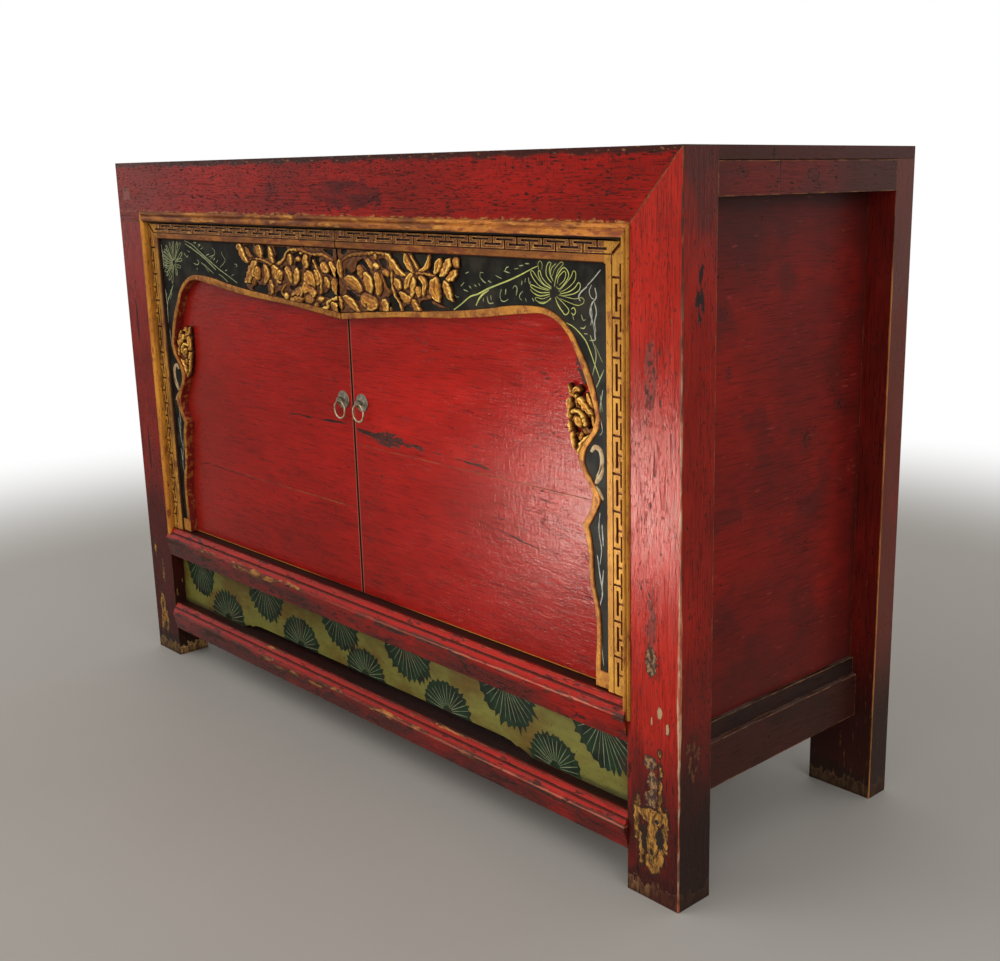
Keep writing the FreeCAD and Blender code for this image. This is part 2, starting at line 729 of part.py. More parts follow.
def door_frame():
    """Pivoting stile and top rail of the right-hand door."""
    cutters = border_cutters() + ridge_chamfers()
    y_span = (door_front, door_back)
    tongue_x = stile_inner + front_tenon_length / 2
    tenon_y = (door_front + tenon_shoulder, board_front)
    tenon_z = (door_rail_under + ridge_chamfer, door_top - tenon_shoulder)
    tenon = ((stile_inner, tongue_x), tenon_y, tenon_z)

    stile = block((stile_inner, door_outer), y_span, (door_low, door_top))
    rebate = block((stile_inner - overrun, stile_inner + door_board_lap), (board_front, door_back + overrun),
                   (door_low - overrun, door_rail_under + door_board_lap))
    top_pin = Part.makeCylinder(pivot_radius, door_top_gap + top_moulding_width + pivot_engagement,
                                Vector(pivot_x, pivot_y, door_top))
    low_pin_length = door_bottom_gap + pivot_engagement - pivot_clearance
    low_pin = Part.makeCylinder(pivot_radius, low_pin_length,
                                Vector(pivot_x, pivot_y, door_low - low_pin_length))
    stile = stile.cut([rebate, mortise(tenon)] + cutters)
    stile = joined(stile, [top_pin, low_pin])

    rail = block((door_meeting, stile_inner), y_span, (door_rail_under, door_top))
    rail = rail.cut(cutters)
    lap = block((door_meeting - overrun, stile_inner + overrun), (board_front, door_back + overrun),
                (door_rail_under - overrun, door_rail_under + door_board_lap))
    rail = joined(rail.cut(lap), [block(*tenon)])
    return stile, rail


def batten_profile(x):
    """Section of a dovetail batten on the back of the boards, at a place along X."""
    half = batten_width / 2
    deep = door_back - dovetail_depth
    outline = [(-half, door_back + batten_thickness), (half, door_back + batten_thickness), (half, door_back),
               (dovetail_narrow / 2, door_back), (dovetail_wide / 2, deep), (-dovetail_wide / 2, deep),
               (-dovetail_narrow / 2, door_back), (-half, door_back)]
    return [Vector(x + across, y, floor_top + batten_end_gap) for across, y in outline]


def door_battens():
    length = door_rail_under - batten_end_gap - floor_top - batten_end_gap
    places = [share * field_width for share in batten_place_shares]
    return [prism(batten_profile(x), Vector(0, 0, length)) for x in places]


def door_boards(joint_share):
    """Two horizontal boards, one above the other, housed for the battens."""
    x_span = (door_meeting, stile_inner + door_board_lap)
    y_span = (board_front, door_back)
    joint = door_low + joint_share * field_height
    battens = door_battens()
    lower = block(x_span, y_span, (door_low, joint)).cut(battens + [staple_hole()])
    upper = block(x_span, y_span, (joint, door_rail_under + door_board_lap)).cut(battens + [staple_hole()])
    return upper, lower


# Edge of the arch from the middle of the doors to the foot, as shares of the field's width
# and height. Each list is one smooth stretch, and the stretches meet at points or cusps.
arch_inner_shares = [
    [(0.0, 0.806), (0.13, 0.818), (0.27, 0.831), (0.43, 0.839), (0.711, 0.869), (0.849, 0.858),
     (0.879, 0.829), (0.963, 0.655)],
    [(0.963, 0.655), (0.957, 0.630), (0.916, 0.574), (0.907, 0.544)],
    [(0.907, 0.544), (0.918, 0.524), (0.933, 0.500), (0.951, 0.460), (0.947, 0.440), (0.917, 0.393)],
    [(0.917, 0.393), (0.938, 0.295), (0.940, 0.258), (0.957, 0.190), (0.957, 0.055), (0.957, 0.0)]]
arch_outer_shares = [
    [(0.0, 0.823), (0.13, 0.835), (0.623, 0.878), (0.797, 0.891), (0.828, 0.885), (0.912, 0.808),
     (0.935, 0.773), (0.976, 0.655)],
    [(0.976, 0.655), (0.973, 0.629), (0.928, 0.562), (0.926, 0.545)],
    [(0.926, 0.545), (0.954, 0.500), (0.976, 0.457), (0.966, 0.434), (0.951, 0.408), (0.938, 0.390)],
    [(0.938, 0.390), (0.952, 0.297), (0.956, 0.245), (0.969, 0.200), (0.975, 0.116), (0.973, 0.0)]]


def field_point(shares, y):
    return Vector(shares[0] * field_width, y, door_low + shares[1] * field_height)


def smooth_edges(stretches, y):
    """Short arcs along a smooth curve through each list of shares."""
    edges = []
    for stretch in stretches:
        curve = Part.BSplineCurve()
        curve.interpolate([field_point(shares, y) for shares in stretch])
        points = curve.discretize(2 * len(stretch) - 1)
        for start, middle, end in zip(points[::2], points[1::2], points[2::2]):
            edges.append(Part.Arc(start, middle, end).toShape())
    return edges


def under_arch(stretches, y, depth):
    """Everything inside an arch edge, down past the door bottom, pushed back by a depth."""
    edges = smooth_edges(stretches, y)
    first = field_point(stretches[0][0], y)
    last = field_point(stretches[-1][-1], y)
    low = last.z - overrun
    ends = [last, Vector(last.x, y, low), Vector(first.x, y, low), first]
    edges += [Part.makeLine(a, b) for a, b in zip(ends, ends[1:])]
    wire = Part.Wire(Part.__sortEdges__(edges))
    return Part.Face(wire).extrude(Vector(0, depth, 0))


def foot_block(y_front):
    inner = field_point(arch_inner_shares[-1][-1], 0)
    return block((inner.x, stile_inner), (y_front, board_front), (door_low, door_low + foot_block_height))


def arch_pieces():
    """Black spandrel, and the gilt bead with its foot, along the arch of the right-hand door."""
    ground_y = door_front + ground_setback
    bead_y = door_front + bead_setback
    deep = board_front - ground_y
    field = block((door_meeting, stile_inner), (ground_y, board_front), (door_low, door_rail_under))
    spandrel = field.cut([under_arch(arch_outer_shares, ground_y - overrun, deep + 2 * overrun),
                          foot_block(ground_y - overrun)])
    band = block((door_meeting, stile_inner), (bead_y, board_front), (door_low, door_rail_under))
    outside = band.cut(under_arch(arch_outer_shares, bead_y - overrun, deep + 3 * overrun))
    inside = under_arch(arch_inner_shares, bead_y - overrun, deep + 3 * overrun)
    bead = joined(band.cut([outside, inside]), [foot_block(bead_y)])
    return spandrel, bead


def leaf_opening(centre, length, width, tilt, y, depth):
    """Pointed opening with flats along its two curved sides, sized and placed in shares of the field."""
    corners = []
    for sign in (1, -1):
        for step in range(leaf_facets):
            share = sign * (1 - 2 * step / leaf_facets)
            along = share * length / 2
            across = sign * (1 - share * share) * width / 2
            x = centre[0] + along * math.cos(tilt) - across * math.sin(tilt)
            z = centre[1] + along * math.sin(tilt) + across * math.cos(tilt)
            corners.append(field_point((x, z), y))
    return prism(corners, Vector(0, depth, 0))


# Openings of the pierced carvings: (x share, z share, length share, width share, tilt in
# degrees), as shares of the field's width and height
right_opening_shares = [
    (0.038, 0.917, 0.040, 0.016, 80), (0.085, 0.953, 0.062, 0.026, 70), (0.155, 0.957, 0.040, 0.026, 60),
    (0.235, 0.957, 0.080, 0.045, 130), (0.325, 0.962, 0.075, 0.040, 40), (0.392, 0.955, 0.060, 0.024, 80),
    (0.176, 0.893, 0.058, 0.026, 100), (0.338, 0.905, 0.048, 0.022, 110), (0.070, 0.870, 0.085, 0.034, 140),
    (0.215, 0.868, 0.066, 0.026, 120), (0.292, 0.874, 0.060, 0.026, 20)]
left_opening_shares = [
    (0.040, 0.940, 0.050, 0.022, 110), (0.105, 0.925, 0.060, 0.030, 60), (0.170, 0.935, 0.050, 0.030, 100),
    (0.235, 0.962, 0.070, 0.036, 60), (0.310, 0.958, 0.065, 0.034, 120), (0.370, 0.964, 0.070, 0.026, 115),
    (0.200, 0.895, 0.050, 0.022, 80), (0.290, 0.902, 0.052, 0.024, 95), (0.085, 0.868, 0.070, 0.030, 30),
    (0.215, 0.866, 0.046, 0.024, 150), (0.330, 0.884, 0.075, 0.030, 170)]
side_opening_shares = [(0.938, 0.664, 0.022, 0.016, 90), (0.905, 0.650, 0.016, 0.010, 60),
                       (0.903, 0.622, 0.026, 0.011, 85)]

# Outline of the free end of the centre carving, from its top edge to the bead
carving_end_shares = [(0.430, 1.0), (0.505, 0.985), (0.470, 0.952), (0.515, 0.940), (0.470, 0.925),
                      (0.498, 0.890), (0.490, 0.84)]
# Outline of the side carving, round from its top leaf to its tail
side_carving_shares = [(0.872, 0.722), (0.885, 0.700), (0.908, 0.712), (0.918, 0.690), (0.940, 0.684),
                       (0.975, 0.672), (0.975, 0.60), (0.935, 0.56), (0.907, 0.543), (0.885, 0.562),
                       (0.877, 0.585), (0.868, 0.620), (0.866, 0.660)]


def centre_carving(openings):
    """Half of the pierced flower carving, over the black ground between the bead and the rail."""
    y_back = door_front + ground_setback
    y_front = y_back - carving_thickness
    start = [Vector(door_meeting, y_front, door_low), Vector(door_meeting, y_front, door_rail_under)]
    end = [field_point(shares, y_front) for shares in carving_end_shares]
    foot = Vector(end[-1].x, y_front, door_low)
    plate = prism(start + end + [foot], Vector(0, carving_thickness, 0))
    cutters = [under_arch(arch_outer_shares, y_front - overrun, carving_thickness + 2 * overrun)]
    cutters += carving_openings(openings, y_front)
    return plate.cut(cutters)


def carving_openings(openings, y_front):
    depth = carving_thickness + side_carving_thickness + overrun
    return [leaf_opening((x, z), length, width, math.radians(tilt), y_front - overrun, depth)
            for x, z, length, width, tilt in openings]


def side_carving():
    """Small pierced carving on the boards, against the inside of the arch bead."""
    y_front = board_front - side_carving_thickness
    outline = [field_point(shares, y_front) for shares in side_carving_shares]
    plate = prism(outline, Vector(0, side_carving_thickness, 0))
    outer = block((0, side), (y_front - overrun, board_front + overrun), (door_low, door_rail_under))
    outer = outer.cut(under_arch(arch_inner_shares, y_front - 2 * overrun,
                                 side_carving_thickness + 4 * overrun))
    return plate.cut([outer] + carving_openings(side_opening_shares, y_front))


# Ring pull of the right-hand door
pull_x = door_meeting + pull_from_meeting
pull_z = door_low + pull_height_share * field_height
eye_y = board_front - plate_thickness - staple_stand
ring_drop = staple_eye_radius - staple_wire / 2 - ring_wire / 2 - ring_rest_gap
ring_top_z = pull_z - ring_drop


def staple_hole():
    """Slot for the two legs of the staple through the plate and the boards."""
    half_x = staple_wire / 2 + staple_slack
    half_z = staple_wire + staple_slack
    return block((pull_x - half_x, pull_x + half_x), (eye_y, door_back + overrun),
                 (pull_z - half_z, pull_z + half_z))


def facet_circle(centre, radius, count, first, second):
    """Corners of a regular outline in the plane of two unit vectors."""
    corners = []
    for step in range(count):
        angle = 2 * math.pi * (step + 0.5) / count
        corners.append(centre + first * (radius * math.cos(angle)) + second * (radius * math.sin(angle)))
    return corners


def wire_loop(centre, radius, wire, axis, count):
    """Closed loop of wire with flats round it and along it, about an axis through its centre."""
    sections = []
    for step in range(count):
        angle = 2 * math.pi * step / count
        outward = Vector(0, 0, math.cos(angle)) + axis.cross(Vector(0, 0, 1)) * math.sin(angle)
        sections.append(facet_circle(centre + outward * radius, wire / 2, wire_facets, outward, axis))
    faces = []
    for near, far in zip(sections, sections[1:] + sections[:1]):
        for i in range(wire_facets):
            corners = [near[i - 1], near[i], far[i], far[i - 1]]
            faces.append(Part.Face(Part.makePolygon(corners + corners[:1])))
    loop = Part.Solid(Part.Shell(faces))
    if loop.Volume < 0:
        loop.reverse()
    return loop


def pull_plate():
    """Oval plate with a low boss round the staple."""
    centre = Vector(pull_x, board_front - plate_thickness, pull_z)
    outline = []
    for corner in facet_circle(Vector(), 1, ring_facets, Vector(1, 0, 0), Vector(0, 0, 1)):
        outline.append(centre + Vector(corner.x * plate_width / 2, 0, corner.z * plate_height / 2))
    plate = prism(outline, Vector(0, plate_thickness, 0))
    boss_front = centre - Vector(0, plate_boss_height, 0)
    boss = prism(facet_circle(boss_front, plate_boss_radius, ring_facets, Vector(1, 0, 0), Vector(0, 0, 1)),
                 Vector(0, plate_boss_height, 0))
    return joined(plate, [boss]).cut(staple_hole())


def staple():
    """Split staple: an eye in front of the plate, and two legs clenched behind the boards."""
    eye_centre = Vector(pull_x, eye_y, pull_z)
    eye = wire_loop(eye_centre, staple_eye_radius, staple_wire, Vector(1, 0, 0), eye_facets)
    half = staple_wire / 2
    x_span = (pull_x - half, pull_x + half)
    legs = []
    for sign in (1, -1):
        z_span = sorted((pull_z, pull_z + sign * staple_wire))
        legs.append(block(x_span, (eye_y + staple_eye_radius, door_back + staple_wire), z_span))
        clench = sorted((pull_z, pull_z + sign * staple_clench))
        legs.append(block(x_span, (door_back, door_back + staple_wire), clench))
    return joined(eye, legs)


def ring():
    centre = Vector(pull_x, eye_y, ring_top_z - ring_radius)
    return wire_loop(centre, ring_radius, ring_wire, Vector(0, 1, 0), ring_facets)


def doors():
    """Right-hand door, and the left-hand one as its mirror image with its own boards and carving."""
    stile, top_rail = door_frame()
    spandrel, bead = arch_pieces()
    shared = {"door_stile": stile, "door_top_rail": top_rail, "spandrel": spandrel, "arch_bead": bead,
              "door_battens": Part.makeCompound(door_battens()), "side_carving": side_carving(),
              "pull_plate": pull_plate(), "pull_staple": staple(), "pull_ring": ring()}
    for name, shape in shared.items():
        export(f"right_{name}", shape)
        export(f"left_{name}", mirrored(shape))

    upper, lower = door_boards(right_board_joint_share)
    export("right_door_upper_board", upper)
    export("right_door_lower_board", lower)
    export("right_carving", centre_carving(right_opening_shares))
    upper, lower = door_boards(left_board_joint_share)
    export("left_door_upper_board", mirrored(upper))
    export("left_door_lower_board", mirrored(lower))
    export("left_carving", mirrored(centre_carving(left_opening_shares)))


os.makedirs("parts", exist_ok=True)
export("front_right_post", front_right_post())
export("front_left_post", front_left_post())
back_posts()
front_top_rail()
rail = door_rail()
export("door_rail", rail)
export("base_rail", ridged_rail(base_rail_top, base_rail_height, base_rail_depth, base_rail_tenons))
export("apron", apron())
side_frames()
back_frame()
top_boards()
floor_boards()
mouldings(rail)
doors()
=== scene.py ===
import math

import bmesh
import bpy
import numpy as np
from mathutils import Matrix, Vector
from mathutils.bvhtree import BVHTree


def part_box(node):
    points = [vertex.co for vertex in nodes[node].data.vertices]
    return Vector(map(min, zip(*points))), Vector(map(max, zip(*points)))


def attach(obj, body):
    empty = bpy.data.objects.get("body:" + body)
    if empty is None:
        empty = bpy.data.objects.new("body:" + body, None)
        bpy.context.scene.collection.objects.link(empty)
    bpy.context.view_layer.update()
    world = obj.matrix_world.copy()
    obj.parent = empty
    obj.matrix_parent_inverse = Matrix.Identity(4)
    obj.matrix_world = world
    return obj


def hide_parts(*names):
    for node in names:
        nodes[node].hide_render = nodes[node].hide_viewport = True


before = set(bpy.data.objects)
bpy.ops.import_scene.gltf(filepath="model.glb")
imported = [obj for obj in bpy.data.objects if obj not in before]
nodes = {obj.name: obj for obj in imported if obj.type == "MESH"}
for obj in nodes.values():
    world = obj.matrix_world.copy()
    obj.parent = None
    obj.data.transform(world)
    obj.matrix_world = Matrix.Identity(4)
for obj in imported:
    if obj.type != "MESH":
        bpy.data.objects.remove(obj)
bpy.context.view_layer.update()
hands = ("left", "right")
MM = 0.001

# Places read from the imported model, in millimetres
ground_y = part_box("right_spandrel")[0].y / MM
board_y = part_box("right_door_upper_board")[0].y / MM
apron_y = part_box("apron")[0].y / MM
stile_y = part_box("right_door_stile")[0].y / MM
door_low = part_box("right_door_lower_board")[0].z / MM

# Faces of the frame, in millimetres from the middle and from the floor
side_x = 631.5
front_reach = 212.25
back_post_y = 180.25
top_z = 860

# Where the unpainted inside begins: behind the doors, within the sides, over the legs and under the top
inside_front, inside_side, inside_bottom, inside_top = (-180.9, -180.2), (582.4, 583.2), (169, 171), (846, 848)


# Materials, written as sums of node outputs

class Value:
    """Output of a node that takes part in sums."""

    def __init__(self, paint, socket):
        self.paint = paint
        self.socket = socket

    def __add__(self, other):
        return self.paint.math("ADD", self, other)

    def __sub__(self, other):
        return self.paint.math("SUBTRACT", self, other)

    def __mul__(self, other):
        return self.paint.math("MULTIPLY", self, other)

    def __truediv__(self, other):
        return self.paint.math("DIVIDE", self, other)

    def __rsub__(self, other):
        return self.paint.math("SUBTRACT", other, self)

    __radd__ = __add__
    __rmul__ = __mul__


class Paint:
    """Node material in object coordinates, in millimetres of the row's frame.

    Its colour, rough and height are what the layers laid so far have made of it.
    """
    # Steps through the noise, so that no two noises are alike
    step_by_material = 31.7
    step_by_noise = 17.3

    def __init__(self, name, specular=0.25, metallic=0, tint=(1, 1, 1)):
        self.material = bpy.data.materials.new(name)
        self.material.use_nodes = True
        self.tree = self.material.node_tree
        self.tree.nodes.clear()
        output = self.node("ShaderNodeOutputMaterial")
        self.shader = self.node("ShaderNodeBsdfPrincipled")
        self.put(specular, self.shader.inputs["Specular IOR Level"])
        self.put(tint, self.shader.inputs["Specular Tint"])
        self.put(metallic, self.shader.inputs["Metallic"])
        self.link(self.shader.outputs[0], output.inputs[0])
        scale = self.node("ShaderNodeVectorMath", operation="SCALE")
        self.link(self.node("ShaderNodeTexCoord").outputs["Object"], scale.inputs[0])
        self.put(1 / MM, scale.inputs["Scale"])
        self.place = scale.outputs[0]
        split = self.node("ShaderNodeSeparateXYZ")
        self.link(self.place, split.inputs[0])
        self.x, self.y, self.z = [Value(self, socket) for socket in split.outputs]
        self.seed = len(bpy.data.materials) * self.step_by_material

    def node(self, kind, **settings):
        made = self.tree.nodes.new(kind)
        for name, value in settings.items():
            setattr(made, name, value)
        return made

    def link(self, output, socket):
        self.tree.links.new(output, socket)

    def put(self, value, socket):
        if isinstance(value, Value):
            self.link(value.socket, socket)
        elif isinstance(value, tuple) and len(socket.default_value) == 4:
            socket.default_value = (*value, 1)
        else:
            socket.default_value = value

    def math(self, operation, first, second=0):
        made = self.node("ShaderNodeMath", operation=operation)
        self.put(first, made.inputs[0])
        self.put(second, made.inputs[1])
        return Value(self, made.outputs[0])

    def smallest(self, first, second):
        return self.math("MINIMUM", first, second)

    def largest(self, first, second):
        return self.math("MAXIMUM", first, second)

    def size(self, value):
        return self.math("ABSOLUTE", value)

    def blend(self, share, first, second):
        return first + share * (second - first)

    def step(self, value, start, end):
        """Smooth rise from 0 at the start to 1 at the end."""
        made = self.node("ShaderNodeMapRange", interpolation_type="SMOOTHSTEP")
        self.put(value, made.inputs["Value"])
        self.put(start, made.inputs["From Min"])
        self.put(end, made.inputs["From Max"])
        return Value(self, made.outputs[0])

    def fall(self, value, start, end):
        """Smooth fall from 1 at the start to 0 at the end."""
        return 1 - self.step(value, start, end)

    def near(self, value, start, end):
        """1 where a value is near 0, falling away on both sides."""
        return self.fall(self.size(value), start, end)

    def noise(self, size, stretch=(1, 1, 1), detail=3, rough=0.55, warp=0):
        """Noise with features of a size in millimetres, longer along an axis by its stretch."""
        self.seed += self.step_by_noise
        mapping = self.node("ShaderNodeMapping")
        self.link(self.place, mapping.inputs["Vector"])
        self.put([1 / (size * share) for share in stretch], mapping.inputs["Scale"])
        self.put((self.seed, self.seed * 0.61, self.seed * 0.37), mapping.inputs["Location"])
        made = self.node("ShaderNodeTexNoise")
        self.link(mapping.outputs[0], made.inputs["Vector"])
        self.put(1, made.inputs["Scale"])
        self.put(detail, made.inputs["Detail"])
        self.put(rough, made.inputs["Roughness"])
        self.put(warp, made.inputs["Distortion"])
        return Value(self, made.outputs[0])

    def cloud(self, start, end, *noise, **look):
        """Patches of a noise: 0 below the start, 1 above the end."""
        return self.step(self.noise(*noise, **look), start, end)

    def drift(self, amount, *noise, **look):
        """Noise about 0, to make an edge wander."""
        return (self.noise(*noise, **look) - 0.5) * amount

    def mix(self, share, first, second):
        made = self.node("ShaderNodeMix", data_type="RGBA")
        self.put(share, made.inputs[0])
        self.put(first, made.inputs[6])
        self.put(second, made.inputs[7])
        return Value(self, made.outputs[2])

    def shaded(self, colour, brightness):
        made = self.node("ShaderNodeVectorMath", operation="SCALE")
        self.put(colour, made.inputs[0])
        self.put(brightness, made.inputs["Scale"])
        return Value(self, made.outputs[0])

    def lay(self, share, colour):
        self.colour = self.mix(share, self.colour, colour)

    def shade(self, brightness):
        self.colour = self.shaded(self.colour, brightness)

    def attribute(self, name):
        return Value(self, self.node("ShaderNodeAttribute", attribute_name=name).outputs["Fac"])

    def rounded(self, radius):
        made = self.node("ShaderNodeBevel", samples=4)
        self.put(radius * MM, made.inputs["Radius"])
        return made.outputs[0]

    def edge(self, radius):
        """Nearness to an arris: 0 on the flat, about 0.3 on a square edge."""
        made = self.node("ShaderNodeVectorMath", operation="DOT_PRODUCT")
        self.link(self.rounded(radius), made.inputs[0])
        self.link(self.node("ShaderNodeNewGeometry").outputs["Normal"], made.inputs[1])
        return 1 - Value(self, made.outputs["Value"])

    def facing(self, axis):
        """Share of the surface's own normal along an axis of the row's frame."""
        split = self.node("ShaderNodeSeparateXYZ")
        self.link(self.node("ShaderNodeTexCoord").outputs["Normal"], split.inputs[0])
        return Value(self, split.outputs["xyz".index(axis)])

    def front(self):
        """1 on the front of the mitred frame."""
        return self.fall(self.y, -212, -209)

    def flank(self):
        """1 on faces that look to the left or right."""
        return self.step(self.size(self.facing("x")), 0.5, 0.8)

    def spot(self, centre, radii, ragged=0.3, grain=9):
        """1 inside a ragged ellipsoid; a centre of None leaves its axis out."""
        total = None
        for coordinate, middle, radius in zip((self.x, self.y, self.z), centre, radii):
            if middle is None:
                continue
            share = (coordinate - middle) / radius
            total = share * share if total is None else total + share * share
        return self.fall(self.math("SQRT", total) + self.drift(4 * ragged, grain), 0.8, 1.05)

    def patches(self, places, ragged=1.5, grain=7):
        """Distance in millimetres outside a group of ragged ellipses (x, z, half width, half height)."""
        nearest = None
        for x, z, wide, tall in places:
            across, up = (self.x - x) / wide, (self.z - z) / tall
            away = (self.math("SQRT", across * across + up * up) - 1) * min(wide, tall)
            nearest = away if nearest is None else self.smallest(nearest, away)
        return nearest + self.drift(4 * ragged, grain, detail=4, rough=0.6)

    def crack(self, centre, run, rise, half_width, wander=9):
        """1 on a wandering line in the X-Z plane that starts at a centre."""
        share = (self.x - centre[0]) / run
        bend = self.drift(wander, wander * 3)
        away = self.size(self.z - centre[1] - share * rise + bend)
        broken = self.drift(half_width * 5, 11, (3, 1, 1), detail=2)
        line = self.fall(away - broken, 0, half_width)
        return line * (self.step(share, -0.03, 0.05) * self.fall(share, 0.85, 1.03))

    def finish(self, roughness, height, radius=1.2):
        """Sets colour and roughness, and a bump from a height in millimetres over rounded arrises."""
        self.put(self.colour, self.shader.inputs["Base Color"])
        self.put(roughness, self.shader.inputs["Roughness"])
        bump = self.node("ShaderNodeBump")
        self.put(1, bump.inputs["Strength"])
        self.put(MM, bump.inputs["Distance"])
        self.put(height, bump.inputs["Height"])
        if radius:
            self.link(self.rounded(radius), bump.inputs["Normal"])
        self.link(bump.outputs[0], self.shader.inputs["Normal"])
        return self.material


def along(axis, length):
    return tuple(length if name == axis else 1 for name in "xyz")


def lacquer(name, grain, light, dark, worn=(0.36, 0.17, 0.055), bare=(0.09, 0.042, 0.022), wear=0.5, feet=0,
            rough=0.25, pitting=0.5, ridges=0.06, specular=0.2, marks=None):
    """Old lacquer on wood, with its grain along an axis; marks adds a piece's own damage, and on some pieces
    painted light and shade.
    """
    p = Paint(name, specular, tint=(0.85, 0.5, 0.38))
    broad = p.cloud(0.36, 0.64, 150, along(grain, 1.6))
    patchy = p.noise(24, along(grain, 3))
    streaks = p.noise(1.5, along(grain, 26), rough=0.6)
    brush = p.noise(1.9, along(grain, 14), detail=2)
    fine = p.noise(0.8, detail=2)
    p.colour = p.mix(broad, dark, light)
    p.shade(0.72 + 0.56 * patchy)
    p.shade(1 - 0.55 * p.step(streaks, 0.47, 0.72))

    # Short open pores and hairline splits along the grain
    zones = p.cloud(0.6 - 0.3 * pitting, 0.74 - 0.3 * pitting, 38, along(grain, 1.6), detail=2)
    pits = p.cloud(0.6, 0.66, 1.7, along(grain, 5), detail=2) * zones
    split = p.noise(9, along(grain, 22))
    splits = p.near(split - 0.5, 0, 0.011) * p.cloud(0.46, 0.54, 50, along(grain, 2), detail=2)
    nicks = p.cloud(0.77 - 0.11 * pitting, 0.79 - 0.11 * pitting, 3.6, along(grain, 4), detail=2)
    open_wood = p.largest(p.largest(pits, splits * pitting), nicks)
    p.lay(open_wood * 0.92, (0.018, 0.006, 0.005))

    # Worn arrises, and feet worn by damp and knocks
    edge = p.edge(3)
    ragged = p.noise(7, along(grain, 3))
    loss = p.step(edge * 3.2 + (ragged - 0.5) * 1.5, 0.62 - 0.35 * wear, 0.78 - 0.35 * wear)
    rub = p.step(edge * 2 + (ragged - 0.5) * 0.9, 0.3 - 0.2 * wear, 0.6 - 0.2 * wear)
    p.shade(1 - 0.35 * rub)
    if feet:
        low = p.fall(p.z + p.drift(0.9 * feet, 50, along("z", 2)), 0.55 * feet, 1.35 * feet)
        p.lay(low * (0.3 + 0.64 * p.flank()), (0.02, 0.01, 0.008))
        scraped = p.step(p.noise(9, along("z", 4), detail=4, rough=0.65) + edge * 0.5, 0.64, 0.68)
        drift = p.drift(46, 10, along("z", 1.6), detail=5, rough=0.65)
        bottom = p.fall(p.z + drift, 17, 19)
        band = p.fall(p.z + drift, 28, 40)
        p.lay(band * 0.85, (0.03, 0.014, 0.01))
        loss = p.largest(loss, scraped * low * 0.75)
    tan = p.mix(p.cloud(0.4, 0.6, 5, along(grain, 5)), bare, worn)
    p.lay(loss, tan)
    if feet:
        raw = p.mix(p.cloud(0.38, 0.6, 5, along("z", 2.5), detail=4), (0.11, 0.055, 0.024), (0.37, 0.2, 0.075))
        raw = p.mix(p.near(p.z + drift - 17, 0.4, 2.2), raw, (0.54, 0.33, 0.13))
        p.lay(bottom, p.shaded(raw, 0.45 + 0.55 * p.step(p.z, 0, 7)))
        loss = p.largest(loss, bottom)
    p.height = 0.05 * fine + ridges * brush + 0.1 * patchy - 0.22 * open_wood - 0.14 * loss
    p.rough = rough + 0.14 * (patchy - 0.5) + 0.3 * loss + 0.25 * open_wood + 0.1 * (brush - 0.5)
    if marks:
        marks(p)
    # Nothing is painted inside the case, nor are the backs of the doors
    raw = p.step(p.y, *inside_front) * p.near(p.x, *inside_side)
    raw = raw * p.step(p.z, *inside_bottom) * p.fall(p.z, *inside_top)
    wood = p.mix(p.cloud(0.36, 0.64, 60, along(grain, 8)), (0.175, 0.1, 0.053), (0.235, 0.14, 0.076))
    wood = p.shaded(wood, 0.6 + 0.75 * p.noise(1.4, along(grain, 24)))
    p.lay(raw, wood)
    return p.finish(p.blend(raw, p.rough, 0.72), p.height)


def chipped(p, mask, core, rim=(0.03, 0.014, 0.01), depth=0.25, shine=0.55):
    """A broken place: a dark ragged rim round a core of a given colour."""
    inner = p.step(mask, 0.55, 0.9)
    p.lay(p.step(mask, 0.05, 0.4), rim)
    p.lay(inner, core)
    p.rough = p.blend(mask, p.rough, shine)
    p.height -= depth * p.step(mask, 0.1, 0.6)


def rubbed(p, centre, radii, mask=1):
    """Lacquer rubbed thin and grey along the grain, with black specks where it broke."""
    place = p.spot(centre, radii, 0.28, 9) * mask
    streak = p.cloud(0.38, 0.62, 2.4, (1, 1, 8))
    p.lay(place * (0.15 + 0.6 * streak), (0.09, 0.036, 0.029))
    specks = p.cloud(0.56, 0.6, 3.4, (1, 1, 2.2)) * place
    p.lay(specks * 0.85, (0.03, 0.012, 0.01))
    p.rough += 0.2 * place
    p.height = p.height - 0.25 * specks + 0.15 * place * streak


def bare_ground(p, ground, islands, mask):
    """Lacquer broken off: a dark rim, the ochre ground, and islands where that has gone too."""
    rim = p.fall(ground, 1.2, 3.4) * mask
    open_part = p.fall(ground, -0.3, 0.3) * mask
    core = p.fall(islands, -0.5, 0.2) * mask
    patchy = p.cloud(0.36, 0.6, 5.5, (1, 1, 2.5), detail=5, rough=0.65)
    paint = p.shaded((0.45, 0.215, 0.042), 0.15 + 0.95 * patchy)
    veins = p.near(p.noise(9, (1, 1, 2.5), detail=5, rough=0.65, warp=1) - 0.5, 0.01, 0.045)
    paint = p.mix(veins * 0.85, paint, (0.05, 0.02, 0.011))
    p.lay(rim, (0.04, 0.014, 0.01))
    p.lay(open_part, paint)
    p.lay(p.fall(islands, 0.3, 0.9) * open_part * 0.6, (0.5, 0.27, 0.07))
    p.lay(core, p.shaded((0.026, 0.017, 0.013), 0.3 + 1.3 * p.noise(2.5)))
    p.rough += 0.25 * open_part
    p.height = p.height - 0.3 * open_part - 0.3 * core


